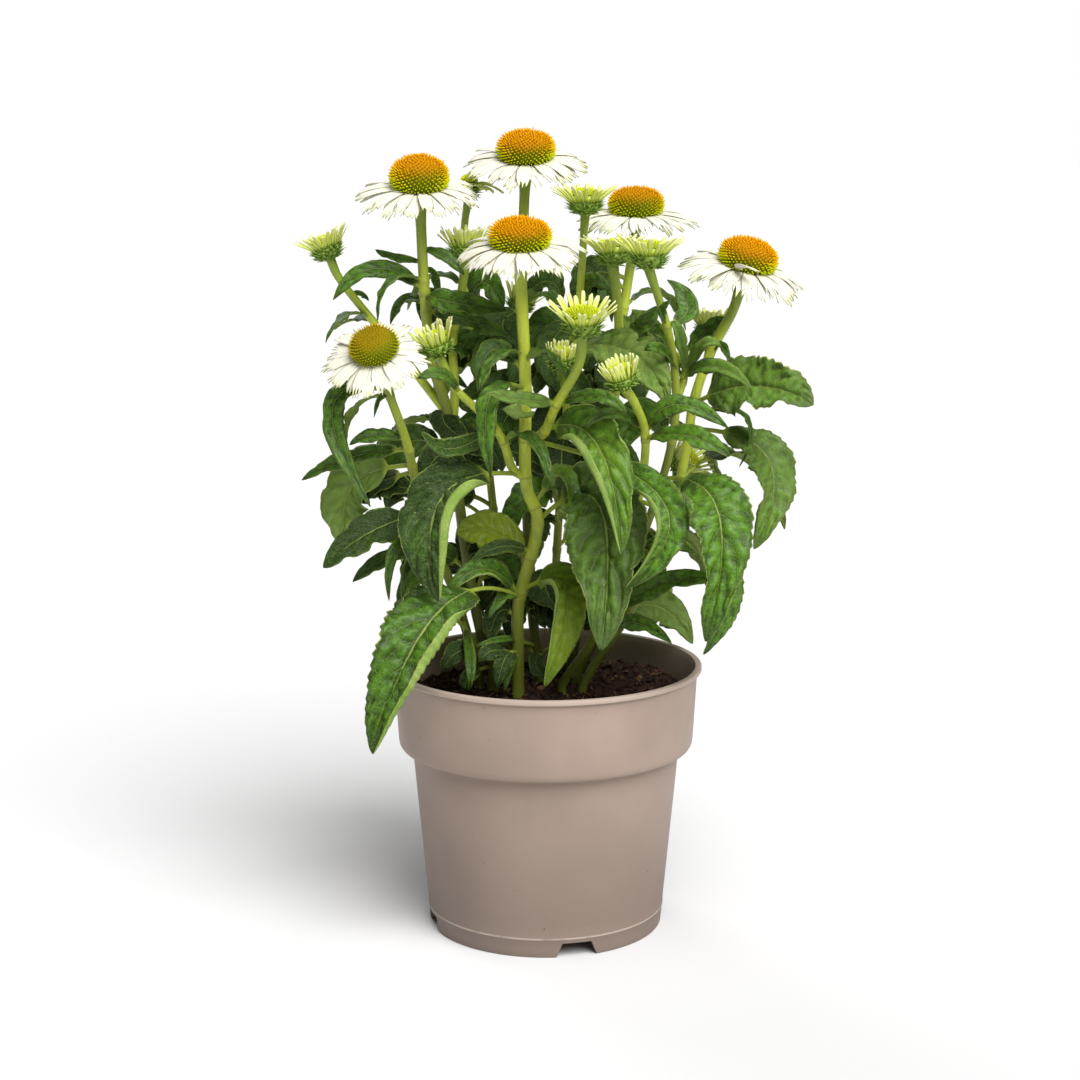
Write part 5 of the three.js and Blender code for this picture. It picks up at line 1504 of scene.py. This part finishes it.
class StageLook(bpy.types.PropertyGroup):
    floor: colour("Floor", "Colour of the floor", "dbdbdb")
    sky: strength("Sky", "Strength of the light from all round", 1, 0, 5)
    overhead: amount("Overhead", "How bright the light from above is", 0.14, 0, 1)
    sides: amount("Sides", "How bright the light from the sides is", 0.22, 0, 1)
    light: strength("Lamps", "Strength of the lamps", 1, 0, 10)


class PotOperator(bpy.types.Operator):
    """Build the pot"""
    bl_idname = "coneflower.pot"
    bl_label = "Pot"

    def execute(self, context):
        build_pot(context.scene.coneflower_pot)
        return {"FINISHED"}


class SoilOperator(bpy.types.Operator):
    """Build the soil with its crumbs and bits of bark"""
    bl_idname = "coneflower.soil"
    bl_label = "Soil"

    def execute(self, context):
        build_soil(context.scene.coneflower_soil)
        return {"FINISHED"}


class StemsOperator(bpy.types.Operator):
    """Build the stems with their leaves and the cups under the heads"""
    bl_idname = "coneflower.stems"
    bl_label = "Leafy stems"

    def execute(self, context):
        build_stems(context.scene.coneflower_foliage, context.scene.coneflower_flowers)
        return {"FINISHED"}


class FlowersOperator(bpy.types.Operator):
    """Build the rays and cones of the open flowers"""
    bl_idname = "coneflower.flowers"
    bl_label = "Open flowers"

    def execute(self, context):
        build_flowers(context.scene.coneflower_flowers)
        return {"FINISHED"}


class YoungOperator(bpy.types.Operator):
    """Build the flower that is just opening"""
    bl_idname = "coneflower.young"
    bl_label = "Opening flower"

    def execute(self, context):
        build_young(context.scene.coneflower_flowers)
        return {"FINISHED"}


class BudsOperator(bpy.types.Operator):
    """Build the buds"""
    bl_idname = "coneflower.buds"
    bl_label = "Buds"

    def execute(self, context):
        build_buds(context.scene.coneflower_flowers)
        return {"FINISHED"}


class StageOperator(bpy.types.Operator):
    """Build the floor, the lights and the camera"""
    bl_idname = "coneflower.stage"
    bl_label = "Stage"

    def execute(self, context):
        build_stage(context.scene.coneflower_stage)
        return {"FINISHED"}


LOOK_GROUPS = {
    "pot": PotLook, "soil": SoilLook, "foliage": FoliageLook, "flowers": FlowerLook, "stage": StageLook,
}
OPERATORS = (
    PotOperator, SoilOperator, StemsOperator, FlowersOperator, YoungOperator, BudsOperator, StageOperator,
)


class ConeflowerPanel(bpy.types.Panel):
    bl_idname = "VIEW3D_PT_coneflower"
    bl_label = "Potted Coneflower"
    bl_space_type = "VIEW_3D"
    bl_region_type = "UI"
    bl_category = "Coneflower"

    def draw(self, context):
        for name, group in LOOK_GROUPS.items():
            box = self.layout.box()
            box.label(text=name.capitalize())
            for key in group.__annotations__:
                box.prop(getattr(context.scene, "coneflower_" + name), key)
        for operator in OPERATORS:
            self.layout.operator(operator.bl_idname)


def register():
    for cls in (*LOOK_GROUPS.values(), *OPERATORS, ConeflowerPanel):
        bpy.utils.register_class(cls)
    for name, group in LOOK_GROUPS.items():
        setattr(bpy.types.Scene, "coneflower_" + name, PointerProperty(type=group))


def unregister():
    for name in LOOK_GROUPS:
        delattr(bpy.types.Scene, "coneflower_" + name)
    for cls in (ConeflowerPanel, *reversed(OPERATORS), *reversed(LOOK_GROUPS.values())):
        bpy.utils.unregister_class(cls)


def main():
    register()
    bpy.ops.coneflower.pot()
    bpy.ops.coneflower.soil()
    bpy.ops.coneflower.stems()
    bpy.ops.coneflower.flowers()
    bpy.ops.coneflower.young()
    bpy.ops.coneflower.buds()
    bpy.ops.coneflower.stage()


if __name__ == "__main__":
    main()
